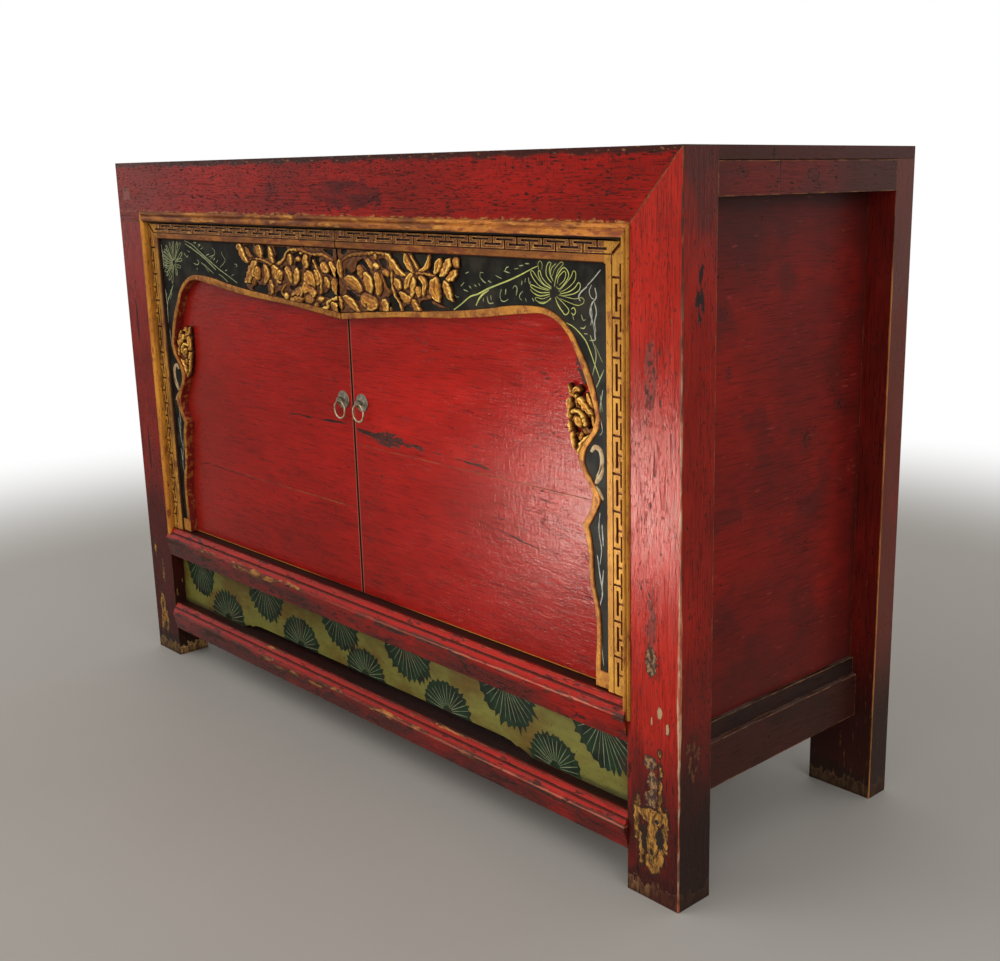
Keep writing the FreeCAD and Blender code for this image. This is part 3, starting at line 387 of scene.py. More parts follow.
def grey_knots(p, places, mask):
    """Weathered knots: grey brown with curling dark rings and a black rim."""
    field = p.patches(places, 4.6, 9)
    body = p.fall(field, -0.3, 0.4) * mask
    rings = p.near(p.noise(9, (1, 1, 1.6), detail=4, warp=1.8) - 0.5, 0, 0.045)
    inner = p.mix(p.cloud(0.44, 0.58, 5, (1, 1, 1.5), detail=4), (0.06, 0.032, 0.024), (0.3, 0.165, 0.07))
    p.lay(p.fall(field, 0.5, 1.6) * mask, (0.03, 0.012, 0.01))
    p.lay(body, p.mix(rings, inner, (0.032, 0.018, 0.013)))
    p.rough += 0.25 * body
    p.height = p.height - 0.2 * body - 0.2 * rings * body


def right_post_marks(p):
    """Rubbed patches, knots, the peeled foot and the worn outer arris, partly a painted highlight."""
    front = p.front()
    outer = p.step(p.x, 629, 631)
    outside = p.step(p.facing("x"), 0.5, 0.8)
    drift = p.noise(60, (1, 1, 2)) - 0.5
    stained = p.largest(0.8 * p.step(p.z + drift * 200, 770, 850), p.fall(p.z + drift * 260, 110, 350))
    p.shade(1 - 0.3 * outside)
    p.lay(stained * outside * 0.93, (0.02, 0.01, 0.008))
    maroon = p.fall(p.z + drift * 120, 130, 240) * front
    browned = p.cloud(0.35, 0.6, 20, (1, 1, 3), detail=4)
    p.lay(maroon * (0.55 + 0.37 * browned), (0.042, 0.008, 0.007))
    ticks = p.cloud(0.6, 0.63, 4.5, (1, 1, 5)) * maroon
    p.lay(ticks * 0.8, (0.02, 0.007, 0.006))
    rubbed(p, (587, None, 620), (9, 1, 46), front)
    rubbed(p, (589, None, 335), (8, 1, 50), front)
    grey_knots(p, [(587, 175, 10, 9), (592, 152, 8, 11), (588.5, 129, 9, 12), (589, 297, 8, 14)], front)
    ground = p.patches([(590, 108, 22, 9), (566, 94, 4, 22), (573, 62, 3.5, 18), (591, 82, 9, 26),
                        (611, 92, 4, 24), (592, 48, 12, 12), (604, 61, 4, 12), (603, 146, 2.6, 22),
                        (569, 122, 2.5, 7), (602.5, 190, 2.2, 4)], 3, 8)
    islands = p.patches([(577, 78, 4.5, 18), (603, 84, 6.5, 13), (598, 104, 4, 4), (590, 60, 2.5, 9)], 2.8, 6)
    bare_ground(p, ground, islands, front)
    chipped(p, p.crack((607, 70), 17, -36, 0.8, 2) * front, (0.46, 0.28, 0.1), depth=0.1)
    for centre, radii in (((602, None, 240), (3.8, 1, 8)), ((613.5, None, 223), (2.8, 1, 7.5)),
                          ((589.6, None, 227), (1.6, 1, 6))):
        chipped(p, p.spot(centre, radii, 0.34, 5) * front, (0.38, 0.24, 0.13), depth=0.3)
    scratch = p.spot((None, -185, 712), (1, 7, 42), 0.5, 10) * p.cloud(0.5, 0.55, 7, (1, 1, 3), detail=4)
    chipped(p, scratch * outer, (0.022, 0.01, 0.01), depth=0.25)
    scraped = p.spot((None, -189, 193), (1, 11, 30), 0.6, 9) * p.cloud(0.5, 0.56, 6, (1, 1, 3), detail=4)
    chipped(p, scraped * outer, (0.13, 0.045, 0.02), depth=0.1)
    # The outer front arris: dark and broken above, rubbed to ochre and pale wood lower down, and widened there
    # by a painted highlight
    near = side_x - p.x + p.size(p.y + front_reach) + p.drift(4.5, 7, (1, 1, 5))
    above = p.step(p.z, 480, 560)
    broken = p.fall(near, 1.2, 2.6) * above * p.cloud(0.4, 0.5, 16, (1, 1, 3))
    p.lay(broken * 0.85, (0.045, 0.018, 0.013))
    # Painted highlight: the pale strip widens about 180 to 430 mm up, where the sheen lies on the rounded arris
    wide = 2.2 * p.step(p.z, 180, 230) * p.fall(p.z, 330, 430)
    strip = p.fall(near - wide, 0.9, 2) * p.fall(p.z, 560, 740)
    pale = p.mix(p.cloud(0.42, 0.58, 14, (1, 1, 2.5), detail=4), (0.36, 0.095, 0.045), (0.52, 0.33, 0.2))
    p.lay(strip * (0.25 + 0.65 * p.cloud(0.38, 0.52, 9, (1, 1, 4))), pale)
    # Brush marks and shrunken grain break up the sheen
    grain = p.noise(4.2, (1, 1, 11))
    p.rough = p.rough + 0.2 * strip + 0.26 * (grain - 0.5)
    p.height += 0.4 * grain


def left_post_marks(p):
    """Two worn slots, and bare patches near the foot."""
    front = p.front()
    p.shade(1 - 0.62 * p.fall(p.z + p.drift(260, 60), 230, 420) * front)
    for z_middle in (598, 372):
        slot = p.spot((-602, None, z_middle), (3.5, 1, 38), 0.2, 6) * front
        chipped(p, slot, (0.05, 0.012, 0.01), depth=0.3)
    ground = p.patches([(-605, 84, 9, 22), (-598, 56, 8, 20), (-612, 48, 4, 14), (-592, 150, 3, 16),
                        (-615, 190, 3, 10)], 3, 8)
    islands = p.patches([(-606, 86, 3.5, 10), (-600, 50, 3.5, 8)], 2.4, 6)
    bare_ground(p, ground, islands, front)


def knot(p, centre, radii, mask=1, strength=0.8):
    """Knot showing through the lacquer: a dark halo, a broken black rim and a small pith."""
    total = 0
    for coordinate, middle, radius in zip((p.x, p.y, p.z), centre, radii):
        if middle is not None:
            share = (coordinate - middle) / radius
            total = share * share + total
    distance = p.math("SQRT", total) + p.drift(1.1, max(radii) * 0.8, detail=4, rough=0.6)
    halo = p.fall(distance, 0.5, 1.35) * mask
    rings = 0.65 + 0.35 * p.math("SINE", distance * 21)
    rim = p.near(distance - 0.85, 0.02, 0.2) * p.cloud(0.48, 0.58, max(radii) * 0.6)
    pith = p.fall(distance, 0.06, 0.22)
    p.lay(halo * (strength * 0.75) * rings, (0.055, 0.01, 0.009))
    black = p.largest(rim, pith) * mask
    p.lay(black * strength, (0.014, 0.006, 0.006))
    p.rough += 0.1 * black
    p.height -= 0.2 * black


def top_rail_marks(p):
    """Dark patch and knots, dirt and checks on the arrises, and the seam of the mitre."""
    front = p.front()
    patch = p.spot((36, None, 811), (88, 1, 20), 0.32, 26) * front
    p.lay(patch * (0.5 + 0.4 * p.cloud(0.4, 0.62, 14, (3, 1, 1), detail=4)), (0.075, 0.007, 0.007))
    rim = p.near(patch - 0.5, 0.1, 0.4) * p.cloud(0.5, 0.58, 40)
    p.lay(rim * 0.7, (0.018, 0.006, 0.006))
    for centre, radii, strength in (((-147, None, 818), (13, 1, 9), 0.98), ((27, None, 818), (9, 1, 6), 0.8),
                                    ((104, None, 806), (14, 1, 14), 0.9), ((-95, None, 784), (9, 1, 3), 0.9)):
        knot(p, centre, radii, front, strength)
    # The end and the upper face are as dark and dull as what they meet
    end_face = p.step(p.size(p.facing("x")), 0.7, 0.9)
    p.lay(end_face * 0.8, (0.05, 0.011, 0.009))
    dull = p.step(p.facing("z"), 0.7, 0.9) * (0.35 + 0.45 * p.cloud(0.36, 0.64, 110, (2.2, 1, 1), detail=4))
    p.lay(dull * 0.8, (0.15, 0.055, 0.046))
    # Short checks stand on the upper arris, which is dark and broken
    away = top_z - p.z + (p.y + front_reach) * 0.8 + p.drift(16, 14, (3, 1, 1), detail=4)
    strip = p.fall(away, 4.5, 10)
    p.lay(strip * 0.9, (0.026, 0.011, 0.009))
    flecks = p.cloud(0.6, 0.64, 4, (3, 1, 1)) * strip * front
    p.lay(flecks * 0.8, (0.26, 0.11, 0.04))
    checks = p.cloud(0.62, 0.66, 7, (0.16, 1, 3), detail=2) * p.step(p.z, 818, 846)
    p.lay(checks * front * 0.8, (0.03, 0.01, 0.009))
    # Gold size runs over the lower edge
    spilt = p.fall(p.z + p.drift(14, 9, (2, 1, 1)), 781.5, 784.5) * p.step(p.z, 780, 781)
    p.lay(spilt * p.cloud(0.46, 0.54, 3.5, (2.5, 1, 1)) * front, (0.4, 0.18, 0.05))
    browned = p.fall(p.x + p.drift(160, 90), -560, -380)
    p.lay(browned * front * 0.45, (0.12, 0.026, 0.018))
    corner_x, corner_z, rail_height, post_width = 556.5, 781, 79, 75
    mitre = (p.x - corner_x) * rail_height / post_width - (p.z - corner_z)
    seam = p.near(mitre, 0.3, 1) * p.step(p.x, 555, 558)
    p.lay(seam * 0.8, (0.03, 0.01, 0.008))
    p.height = p.height - 0.2 * strip - 0.2 * checks


def rail_marks(crest, high, golden):
    """Wear of a ridged rail: ochre patches and dark dirt below the crest, and a painted highlight along the
    crest.
    """
    def marks(p):
        drift = p.drift(9, 40, (3, 1, 1))
        near = p.size(p.z - crest + drift * 0.4)
        patch = p.noise(16, (4, 1, 0.8), detail=4, rough=0.62)
        chip = p.step(patch - near * 0.012, 0.49, 0.53)
        p.lay(p.step(patch - near * 0.012, 0.44, 0.5), (0.045, 0.014, 0.01))
        gold = p.mix(p.cloud(0.42, 0.55, 5, (4, 1, 1)), (0.1, 0.03, 0.012), (0.44, 0.19, 0.045))
        reach = (p.x - golden[0]) / golden[1]
        worn_part = p.fall(p.size(reach) + p.drift(0.8, 60, detail=2), 0.7, 1.15)
        p.lay(chip * worn_part, gold)
        # Painted highlight: a pale pink line along the crest, strongest towards the right
        crest_line = p.fall(near + p.drift(6, 12, (5, 1, 1)), 0.4, 1.8)
        glint = p.step(p.x + p.drift(500, 90, detail=2), -100, 350) * 0.5 + 0.12
        p.lay(crest_line * glint, (0.56, 0.15, 0.085))
        upper = p.step(p.z, crest + 2, crest + 5) * p.fall(p.z, high - 3, high - 1)
        p.lay(upper * 0.6, (0.43, 0.012, 0.008))
        below = p.fall(p.z, crest - 12, crest - 3) * p.cloud(0.32, 0.6, 34, (3, 1, 1), detail=4)
        p.lay(below * 0.8, (0.055, 0.01, 0.008))
        torn = p.near(p.noise(13, (5, 1, 1), detail=4) - 0.5, 0.008, 0.028) * below
        p.lay(torn * 0.85, (0.016, 0.006, 0.005))
        scabs = p.cloud(0.6, 0.63, 9, (3.5, 1, 1), detail=4, rough=0.65)
        p.lay(scabs * 0.85, (0.02, 0.007, 0.006))
        groove = p.near(p.z - (high - (high - crest) * 0.46), 0.8, 2.4)
        p.lay(groove * 0.8, (0.03, 0.008, 0.006))
        # Dirt and shadow where the rail runs in under the doors or the apron
        under = p.step(p.facing("z"), 0.5, 0.9) * p.step(p.y + p.drift(5, 14, (4, 1, 1)), -208, -204)
        p.lay(under * 0.95, (0.01, 0.005, 0.004))
        p.rough = p.rough + 0.2 * chip + 0.3 * under
        p.height = p.height - 0.25 * chip - 0.2 * scabs
    return marks


def side_panel_marks(p):
    """Smoke, darkening towards the frame, scuffs and small knots."""
    stain = p.step(p.z + p.drift(130, 70), 690, 800)
    p.lay(stain * 0.6, (0.022, 0.009, 0.009))
    lower = p.fall(p.z + p.drift(90, 60), 190, 320)
    p.lay(lower * 0.6, (0.05, 0.01, 0.008))
    rear = p.step(p.y + p.drift(110, 80, (1, 1, 3)), 95, 165)
    p.lay(rear * 0.45, (0.05, 0.009, 0.008))
    smoky = p.cloud(0.5, 0.68, 70, detail=4, rough=0.6)
    p.lay(smoky * 0.5, (0.045, 0.008, 0.007))
    # Darker along the frame
    rim = p.largest(p.step(p.size(p.y - 12) + p.drift(40, 40, (1, 1, 4)), 150, 185),
                    p.step(p.z + p.drift(30, 30, (1, 4, 1)), 785, 808))
    p.lay(rim * 0.75, (0.028, 0.008, 0.007))
    scuffed = p.cloud(0.62, 0.72, 3, along("y", 7)) * p.cloud(0.48, 0.6, 50, detail=2)
    p.lay(scuffed * 0.5, (0.3, 0.045, 0.03))
    for centre, radii in (((None, -74, 729), (1, 3, 14)), ((None, 134, 548), (1, 12, 8)),
                          ((None, -99, 678), (1, 9, 8)), ((None, 68, 510), (1, 7, 10)),
                          ((None, -86, 610), (1, 6, 9)), ((None, -60, 440), (1, 3, 10))):
        knot(p, centre, radii, strength=0.85)


def side_top_marks(p):
    """Three knots and a check across the grain."""
    for y_middle, z_middle, size in ((-118, 832, 7), (8, 828, 8), (137, 822, 6)):
        knot(p, (None, y_middle, z_middle), (1, size * 1.5, size), strength=0.9)
    check = p.near(p.y + 53 + p.drift(5, 6, detail=2), 0.5, 1.4)
    p.lay(check * p.step(p.z, 818, 830), (0.015, 0.006, 0.006))
    p.height -= 0.3 * check


def back_post_marks(p):
    """Smoky upper part, black leg and an arris rubbed to the ochre."""
    outer = p.flank()
    smoke = p.noise(60, (1, 1, 2.5), detail=4) - 0.5
    p.lay(outer * (0.55 + smoke), (0.105, 0.036, 0.024))
    haze = p.step(p.z + smoke * 120, 640, 700) * outer
    p.lay(haze * 0.5, (0.105, 0.052, 0.045))
    legs = p.fall(p.z + smoke * 120, 110, 260)
    p.lay(legs * 0.85, (0.016, 0.009, 0.007))
    scratch = p.cloud(0.63, 0.67, 5, (1, 1, 5), detail=4, rough=0.7) * p.fall(p.z, 150, 420)
    p.lay(scratch * 0.7, (0.16, 0.06, 0.022))
    near = side_x - p.size(p.x) + p.size(p.y - back_post_y) + p.drift(3, 6, (1, 1, 5))
    line = p.fall(near, 0.8, 1.8) * p.fall(p.z + smoke * 100, 690, 720)
    p.lay(line * (0.3 + 0.6 * p.cloud(0.36, 0.5, 20, (1, 1, 4))), (0.48, 0.19, 0.05))
    p.rough += 0.15 * haze
    p.height -= 0.1 * scratch


def top_board_marks(p):
    """Dull stained top with dark end grain and an open joint."""
    up = p.step(p.facing("z"), 0.5, 0.9)
    dull = p.cloud(0.34, 0.66, 130, (2.2, 1, 1), detail=5, rough=0.6) * up
    p.lay(dull * 0.42, (0.2, 0.115, 0.095))
    stains = p.cloud(0.6, 0.66, 45, (1.5, 1, 1), detail=4) * up
    p.lay(stains * 0.45, (0.04, 0.016, 0.013))
    p.rough += 0.22 * dull
    ends = p.flank()
    p.lay(ends * 0.85, (0.032, 0.011, 0.009))
    joint = p.near(p.y + 64, 0.6, 1.8)
    p.lay(joint * 0.85, (0.012, 0.007, 0.006))


def dusty(p):
    """Grey dust on the faces that look up."""
    up = p.step(p.facing("z"), 0.3, 0.9) * p.cloud(0.36, 0.6, 22, (1, 3, 1), detail=4)
    p.lay(up * 0.42, (0.17, 0.115, 0.1))
    p.rough += 0.35 * up


def door_marks(side):
    """Cracks and dents of a door's boards, with painted light on the right door and painted shade along the
    seam.
    """
    def marks(p):
        if side == "right":
            # Painted light: the boards are painted brighter towards the top and round the middle of the sheen
            painted_brightening = p.step(p.z - 0.25 * p.x + p.drift(120, 120, detail=2), 250, 480)
            p.shade(0.8 + 0.22 * painted_brightening)
            bright = p.spot((90, None, 600), (190, 1, 130), 0.12, 90)
            p.shade(1 + 0.12 * bright)
        else:
            edge_side = p.step(0 - p.x, 260, 500)
            p.lay(edge_side * 0.6, (0.27, 0.02, 0.013))
        # Cracks: start, run, rise and half width
        lines = {"right": [((0, 487), 300, -17, 1.5), ((10, 484), 150, -9, 2.2), ((250, 402), 170, -22, 0.8),
                           ((60, 503), 50, 46, 0.5)],
                 "left": [((-170, 486), 172, 4, 1.3), ((-500, 367), 240, -2, 0.7), ((-470, 690), 140, 3, 0.6),
                          ((-330, 625), 150, 2, 0.45)]}[side]
        for centre, run, rise, width in lines:
            chipped(p, p.crack(centre, run, rise, width), (0.04, 0.01, 0.008), depth=0.3)
        if side == "right":
            scar = p.spot((82, None, 480), (36, 1, 11), 0.3, 9)
            chipped(p, scar * p.cloud(0.38, 0.5, 5, (2, 1, 1)), (0.06, 0.016, 0.014), depth=0.3)
            broken = p.spot((478, None, 618), (22, 1, 26), 0.3, 9) * p.cloud(0.36, 0.46, 8)
            chipped(p, broken, (0.05, 0.012, 0.016), depth=0.25)
        dents = p.cloud(0.7, 0.76, 4.5, (1.4, 1, 1), detail=1)
        p.lay(dents * 0.7, (0.05, 0.008, 0.007))
        p.height -= 0.2 * dents
        # Waves left by planing and by cloth under the lacquer
        waves = p.noise(11, (2.2, 1, 1), detail=2) * 0.3
        waves = waves + p.noise(3.8, (1, 1, 4), detail=2) * 0.26 + p.noise(3.4, (5, 1, 1), detail=2) * 0.22
        p.height += waves
        # A pale line on each meeting edge, and painted shade: a black line along the gap between the doors
        from_seam = p.size(p.x) + p.drift(1.6, 12, (1, 1, 4))
        p.lay(p.fall(from_seam, 3, 4.2) * 0.7, (0.42, 0.13, 0.08))
        p.lay(p.fall(from_seam, 1.9, 2.5), (0.02, 0.008, 0.006))
        bottom = p.fall(p.z - door_low, 0.8, 1.9) * p.step(p.size(p.x), 60, 180)
        p.lay(bottom, (0.5, 0.19, 0.03))
    return marks


def gilding(name, gold, aged, deep=(0.03, 0.012, 0.008), groove=None, hollow=False, wear=0.5, inner_red=False,
            metallic=0.2, rough=0.42, grain="z", band=None, shadow=None):
    """Old gold lacquer over red, dark where it is deep, which on carvings is painted shade beside painted
    highlights on the crowns; groove is the depth of a cut face.
    """
    p = Paint(name, 0.12, metallic)
    cloudy = p.cloud(0.36, 0.64, 26, along(grain, 2.5))
    p.colour = p.mix(cloudy, aged, gold)
    p.shade(0.72 + 0.55 * p.noise(3.2, along(grain, 3)))
    specks = p.cloud(0.6, 0.68, 1.7, along(grain, 2.5))
    p.lay(specks * 0.75, (0.06, 0.02, 0.01))
    bole = p.cloud(0.66 - 0.14 * wear, 0.72 - 0.12 * wear, 9, along(grain, 3), detail=4, rough=0.65)
    p.lay(bole * 0.8, (0.17, 0.035, 0.014))
    height = 0.12 * p.noise(2.4, detail=2) + 0.05 * p.noise(0.7, detail=1) - 0.08 * bole
    if groove is not None:
        cut = p.step(p.y, groove + 0.3, groove + 1.3)
        p.lay(cut, p.shaded(deep, 0.6 + 0.8 * p.noise(8, detail=2)))
    if hollow:
        mottled = p.cloud(0.3, 0.66, 9, detail=2)
        p.lay(0.75, p.mix(mottled, (0.3, 0.095, 0.014), (0.6, 0.26, 0.036)))
        gouges = p.near(p.noise(7, warp=1.2) - 0.5, 0, 0.028)
        p.lay(gouges * 0.4, (0.12, 0.04, 0.014))
        # Painted shade darkens the carving's low and hollow places, to black in the deepest, and painted
        # highlights brighten its crowns
        depth = p.attribute("depth") + p.drift(0.16, 3.5)
        bright = p.step(p.attribute("hollow"), -0.05, -0.125) * p.fall(depth, 0.2, 0.42)
        p.lay(p.step(depth, 0.22, 0.62), (0.15, 0.052, 0.014))
        p.lay(bright * 0.85, (0.92, 0.58, 0.14))
        p.lay(p.step(p.attribute("hollow"), 0.015, 0.13) * 0.85, (0.045, 0.016, 0.008))
        p.lay(p.step(depth, 0.66, 0.8), deep)
    if inner_red:
        side_face = p.step(p.size(p.facing("y")), 0.75, 0.45) * p.step(p.y, ground_y - 1.2, ground_y - 0.4)
        p.lay(side_face, p.shaded((0.2, 0.016, 0.012), 0.6 + 0.7 * p.noise(8)))
    edge = p.edge(1.6) * 2.5 + (p.noise(5) - 0.5)
    if inner_red:
        streaky = p.cloud(0.5, 0.6, 9, detail=4, rough=0.65)
        p.lay(streaky * 0.35, (0.62, 0.3, 0.05))
    if band:
        # The gold is rubbed off the fret's flats, and its arrises are painted bright gold as highlights
        fret = p.step(p.z, band - 0.4, band + 0.2) * p.fall(p.y, groove + 0.3, groove + 1.3)
        p.lay(fret * 0.8, p.shaded((0.13, 0.04, 0.016), 0.5 + p.noise(6, (2, 1, 1))))
        p.lay(p.step(edge, 0.02, 0.32) * fret, (0.74, 0.36, 0.085))
    else:
        p.lay(p.step(edge, 0.55, 0.75) * 0.6, (0.09, 0.032, 0.014))
    if shadow:
        # The gold is brightest to the right and rubbed through to the red in streaks
        p.shade(0.88 + 0.34 * p.step(p.x + p.drift(200, 70, detail=2), -100, 300))
        rubs = p.cloud(0.52, 0.6, 15, (5, 1, 1), detail=4, rough=0.65)
        p.lay(rubs * 0.7, (0.1, 0.026, 0.013))
        glints = p.cloud(0.6, 0.66, 8, (6, 1, 1))
        p.lay(glints * 0.6, (0.7, 0.34, 0.06))
        # Painted shadow: black along the joint with the doors, where the gap under the moulding lies in shade
        dirt_and_painted_shadow = p.fall(p.z + p.drift(2.5, 18, (3, 1, 1)), shadow, shadow + 0.9)
        p.lay(dirt_and_painted_shadow, (0.01, 0.006, 0.004))
    return p.finish(rough + 0.25 * (p.noise(6) - 0.3), height, 0.8)


def black_ground():
    """Black lacquer of the doors' corners, wiped and scuffed."""
    p = Paint("black_ground", 0.05)
    wiped = p.noise(5, (1, 1, 4))
    p.colour = p.mix(p.cloud(0.4, 0.65, 34), (0.009, 0.008, 0.006), (0.027, 0.023, 0.016))
    p.shade(0.7 + 0.8 * wiped)
    scuffs = p.cloud(0.66, 0.74, 2.4, (1, 1, 5), detail=4, rough=0.7)
    p.lay(scuffs * 0.3, (0.13, 0.12, 0.09))
    return p.finish(0.48 + 0.25 * (wiped - 0.5), 0.1 * wiped + 0.04 * p.noise(1, detail=2), 0.6)


def brush_paint(name, light, dark, rough=0.5, thin=0.35):
    """Brushed line of oil paint, thin in places, over the ground behind it."""
    p = Paint(name, 0.12)
    p.colour = p.mix(p.cloud(0.35, 0.65, 7), light, dark)
    worn_thin = p.cloud(0.6, 0.7, 1.6, rough=0.7)
    p.lay(worn_thin * thin, (0.035, 0.032, 0.022))
    return p.finish(rough + 0.2 * (p.noise(3, detail=2) - 0.5), 0.05 * p.noise(0.9, detail=2), 0)


def apron_paint():
    """Yellow green oil paint, brushed, and darker at its upper and lower edges."""
    p = Paint("apron_green", 0.12)
    browned = p.cloud(0.36, 0.62, 60, (1.6, 1, 1), detail=4)
    p.colour = p.mix(browned, (0.125, 0.076, 0.012), (0.165, 0.152, 0.03))
    p.shade(0.65 + 0.65 * p.noise(7, (3, 1, 1), detail=4))
    scribble = p.near(p.noise(12, (2.4, 1, 1), warp=1.2) - 0.5, 0, 0.02)
    p.lay(scribble * 0.5 * p.cloud(0.45, 0.6, 40, detail=2), (0.13, 0.1, 0.02))
    specks = p.cloud(0.69, 0.74, 3.2, detail=1)
    p.lay(specks, (0.02, 0.014, 0.006))
    # Darker along the upper and lower edges
    rim = p.step(p.z + p.drift(14, 20, (3, 1, 1)), 176, 188)
    p.lay(rim * 0.6, (0.035, 0.035, 0.02))
    low = p.fall(p.z - p.drift(12, 14, (3, 1, 1)), 100, 108)
    p.lay(low * 0.7, (0.03, 0.022, 0.012))
    return p.finish(0.4 + 0.2 * p.noise(9, detail=2), 0.1 * p.noise(4, (3, 1, 1)) - 0.15 * specks, 0.8)


def fan_paint():
    """Dark green of the pine fans."""
    p = Paint("fan_green", 0.1)
    p.colour = p.mix(p.cloud(0.36, 0.62, 22), (0.007, 0.01, 0.005), (0.011, 0.027, 0.011))
    p.lay(p.cloud(0.55, 0.68, 34) * 0.8, (0.03, 0.019, 0.011))
    p.shade(0.6 + 0.8 * p.noise(3, (1, 1, 3)))
    return p.finish(0.4 + 0.2 * p.noise(6, detail=2), 0.06 * p.noise(2, (1, 1, 3), detail=2), 0)


def plain_wood(name, grain, light, dark, rough=0.72):
    """Unpainted softwood gone brown, with growth lines and dirt."""
    p = Paint(name, 0.25)
    rings = p.noise(7, along(grain, 22), warp=0.4)
    lines = p.step(p.size(rings - 0.5), 0, 0.06)
    p.colour = p.mix(p.cloud(0.36, 0.64, 90, along(grain, 3)), dark, light)
    p.shade(0.62 + 0.38 * lines)
    p.shade(0.75 + 0.5 * p.noise(1.2, along(grain, 30), detail=2))
    dirt_and_painted_shadow = p.cloud(0.52, 0.7, 40, along(grain, 2), detail=4, rough=0.65)
    p.lay(dirt_and_painted_shadow * 0.6, (0.05, 0.032, 0.02))
    knots = p.cloud(0.8, 0.84, 16, along(grain, 1.6), detail=0)
    p.lay(knots * 0.8, (0.04, 0.02, 0.012))
    height = 0.12 * lines + 0.1 * p.noise(1.2, along(grain, 30), detail=2) - 0.1 * dirt_and_painted_shadow
    return p.finish(rough + 0.15 * (p.noise(9, detail=2) - 0.5), height, 1.2)


def old_brass(name, bright, tarnish, rough=0.3):
    """Brass gone brown, most of all where it is hollow."""
    p = Paint(name, 0.5, 0.9)
    stain = p.cloud(0.42, 0.66, 5, detail=4, rough=0.6)
    p.colour = p.mix(stain * 0.8, bright, tarnish)
    hidden = p.step(p.attribute("hollow"), 0.02, 0.25)
    p.lay(hidden * 0.7, (0.06, 0.04, 0.022))
    scratches = p.noise(0.5, (1, 1, 9), detail=2)
    return p.finish(rough + 0.25 * stain + 0.08 * scratches, 0.03 * p.noise(1.4), 0)


def dress(material, *names):
    """Gives every slot of some nodes a material."""
    for name in names:
        mesh = nodes[name].data
        if not mesh.materials:
            mesh.materials.append(material)
        for slot in nodes[name].material_slots:
            slot.link = "OBJECT"
            slot.material = material
    return material


def both(name):
    """The left and the right one of a pair of nodes."""
    return [f"{hand}_{name}" for hand in hands]


dress(lacquer("right_post_lacquer", "z", (0.43, 0.018, 0.01), (0.31, 0.015, 0.009), wear=0.9, feet=150,
              pitting=0.75, ridges=0.32, rough=0.22, marks=right_post_marks), "front_right_post")
dress(lacquer("left_post_lacquer", "z", (0.26, 0.013, 0.008), (0.17, 0.01, 0.007), wear=0.6, specular=0.13,
              feet=190, pitting=0.7, ridges=0.1, marks=left_post_marks), "front_left_post")
dress(lacquer("top_rail_lacquer", "x", (0.36, 0.01, 0.006), (0.23, 0.009, 0.006), wear=0.55, specular=0.11,
              pitting=1.1, marks=top_rail_marks), "front_top_rail")
dress(lacquer("peg_lacquer", "z", (0.25, 0.045, 0.034), (0.2, 0.035, 0.026)), "corner_peg")
dress(lacquer("door_rail_lacquer", "x", (0.31, 0.008, 0.005), (0.18, 0.008, 0.005), pitting=0.7,
              marks=rail_marks(220.5, 239, (-200, 230))), "door_rail")
dress(lacquer("base_rail_lacquer", "x", (0.3, 0.009, 0.006), (0.15, 0.008, 0.006), wear=0.6, pitting=0.7,
              marks=rail_marks(81, 98, (0, 260))), "base_rail")
dress(lacquer("side_panel_lacquer", "y", (0.225, 0.008, 0.005), (0.125, 0.007, 0.005), wear=0.3, pitting=0.12,
              rough=0.42, ridges=0.05, marks=side_panel_marks), *both("side_panel"))
dress(lacquer("side_top_lacquer", "y", (0.12, 0.009, 0.007), (0.05, 0.009, 0.007), wear=0.55, pitting=0.6,
              rough=0.36, marks=side_top_marks), *both("side_top_rail"))
dress(lacquer("side_bottom_lacquer", "y", (0.046, 0.012, 0.009), (0.016, 0.009, 0.007), wear=0.6,
              worn=(0.36, 0.15, 0.065), rough=0.42, marks=dusty), *both("side_bottom_rail"))
dress(lacquer("side_strip_lacquer", "y", (0.026, 0.01, 0.008), (0.014, 0.008, 0.007), rough=0.55, pitting=0.9,
              marks=dusty), *both("side_strip"))
dress(lacquer("back_post_lacquer", "z", (0.26, 0.012, 0.008), (0.13, 0.011, 0.008), wear=0.75,
              worn=(0.34, 0.14, 0.045), feet=170, rough=0.38, pitting=0.6, marks=back_post_marks),
      "back_left_post", "back_right_post")
dress(lacquer("top_board_lacquer", "x", (0.19, 0.014, 0.01), (0.1, 0.012, 0.009), wear=0.7, pitting=0.8,
              rough=0.38, marks=top_board_marks), "top_front_board", "top_back_board")
dress(lacquer("right_door_lacquer", "x", (0.37, 0.008, 0.005), (0.31, 0.007, 0.004), wear=0.1, pitting=0.18,
              rough=0.22, marks=door_marks("right")), "right_door_upper_board", "right_door_lower_board")
dress(lacquer("left_door_lacquer", "x", (0.38, 0.008, 0.005), (0.29, 0.007, 0.004), wear=0.1, pitting=0.18,
              specular=0.15, rough=0.24, marks=door_marks("left")),
      "left_door_upper_board", "left_door_lower_board")
dress(gilding("gilt_frame", (0.5, 0.235, 0.031), (0.37, 0.155, 0.02), groove=stile_y, deep=(0.16, 0.04, 0.012)),
      "right_door_stile")
dress(gilding("gilt_frame_left", (0.56, 0.25, 0.036), (0.26, 0.115, 0.022), groove=stile_y,
              deep=(0.05, 0.02, 0.01), wear=0.8), "left_door_stile")
dress(gilding("gilt_top_rail", (0.36, 0.125, 0.02), (0.17, 0.055, 0.013), groove=stile_y,
              deep=(0.04, 0.012, 0.008), wear=0.9, grain="x", metallic=0.15, band=748.5),
      *both("door_top_rail"))
dress(gilding("gilt_moulding", (0.52, 0.235, 0.032), (0.36, 0.14, 0.02), wear=0.7), "right_moulding")
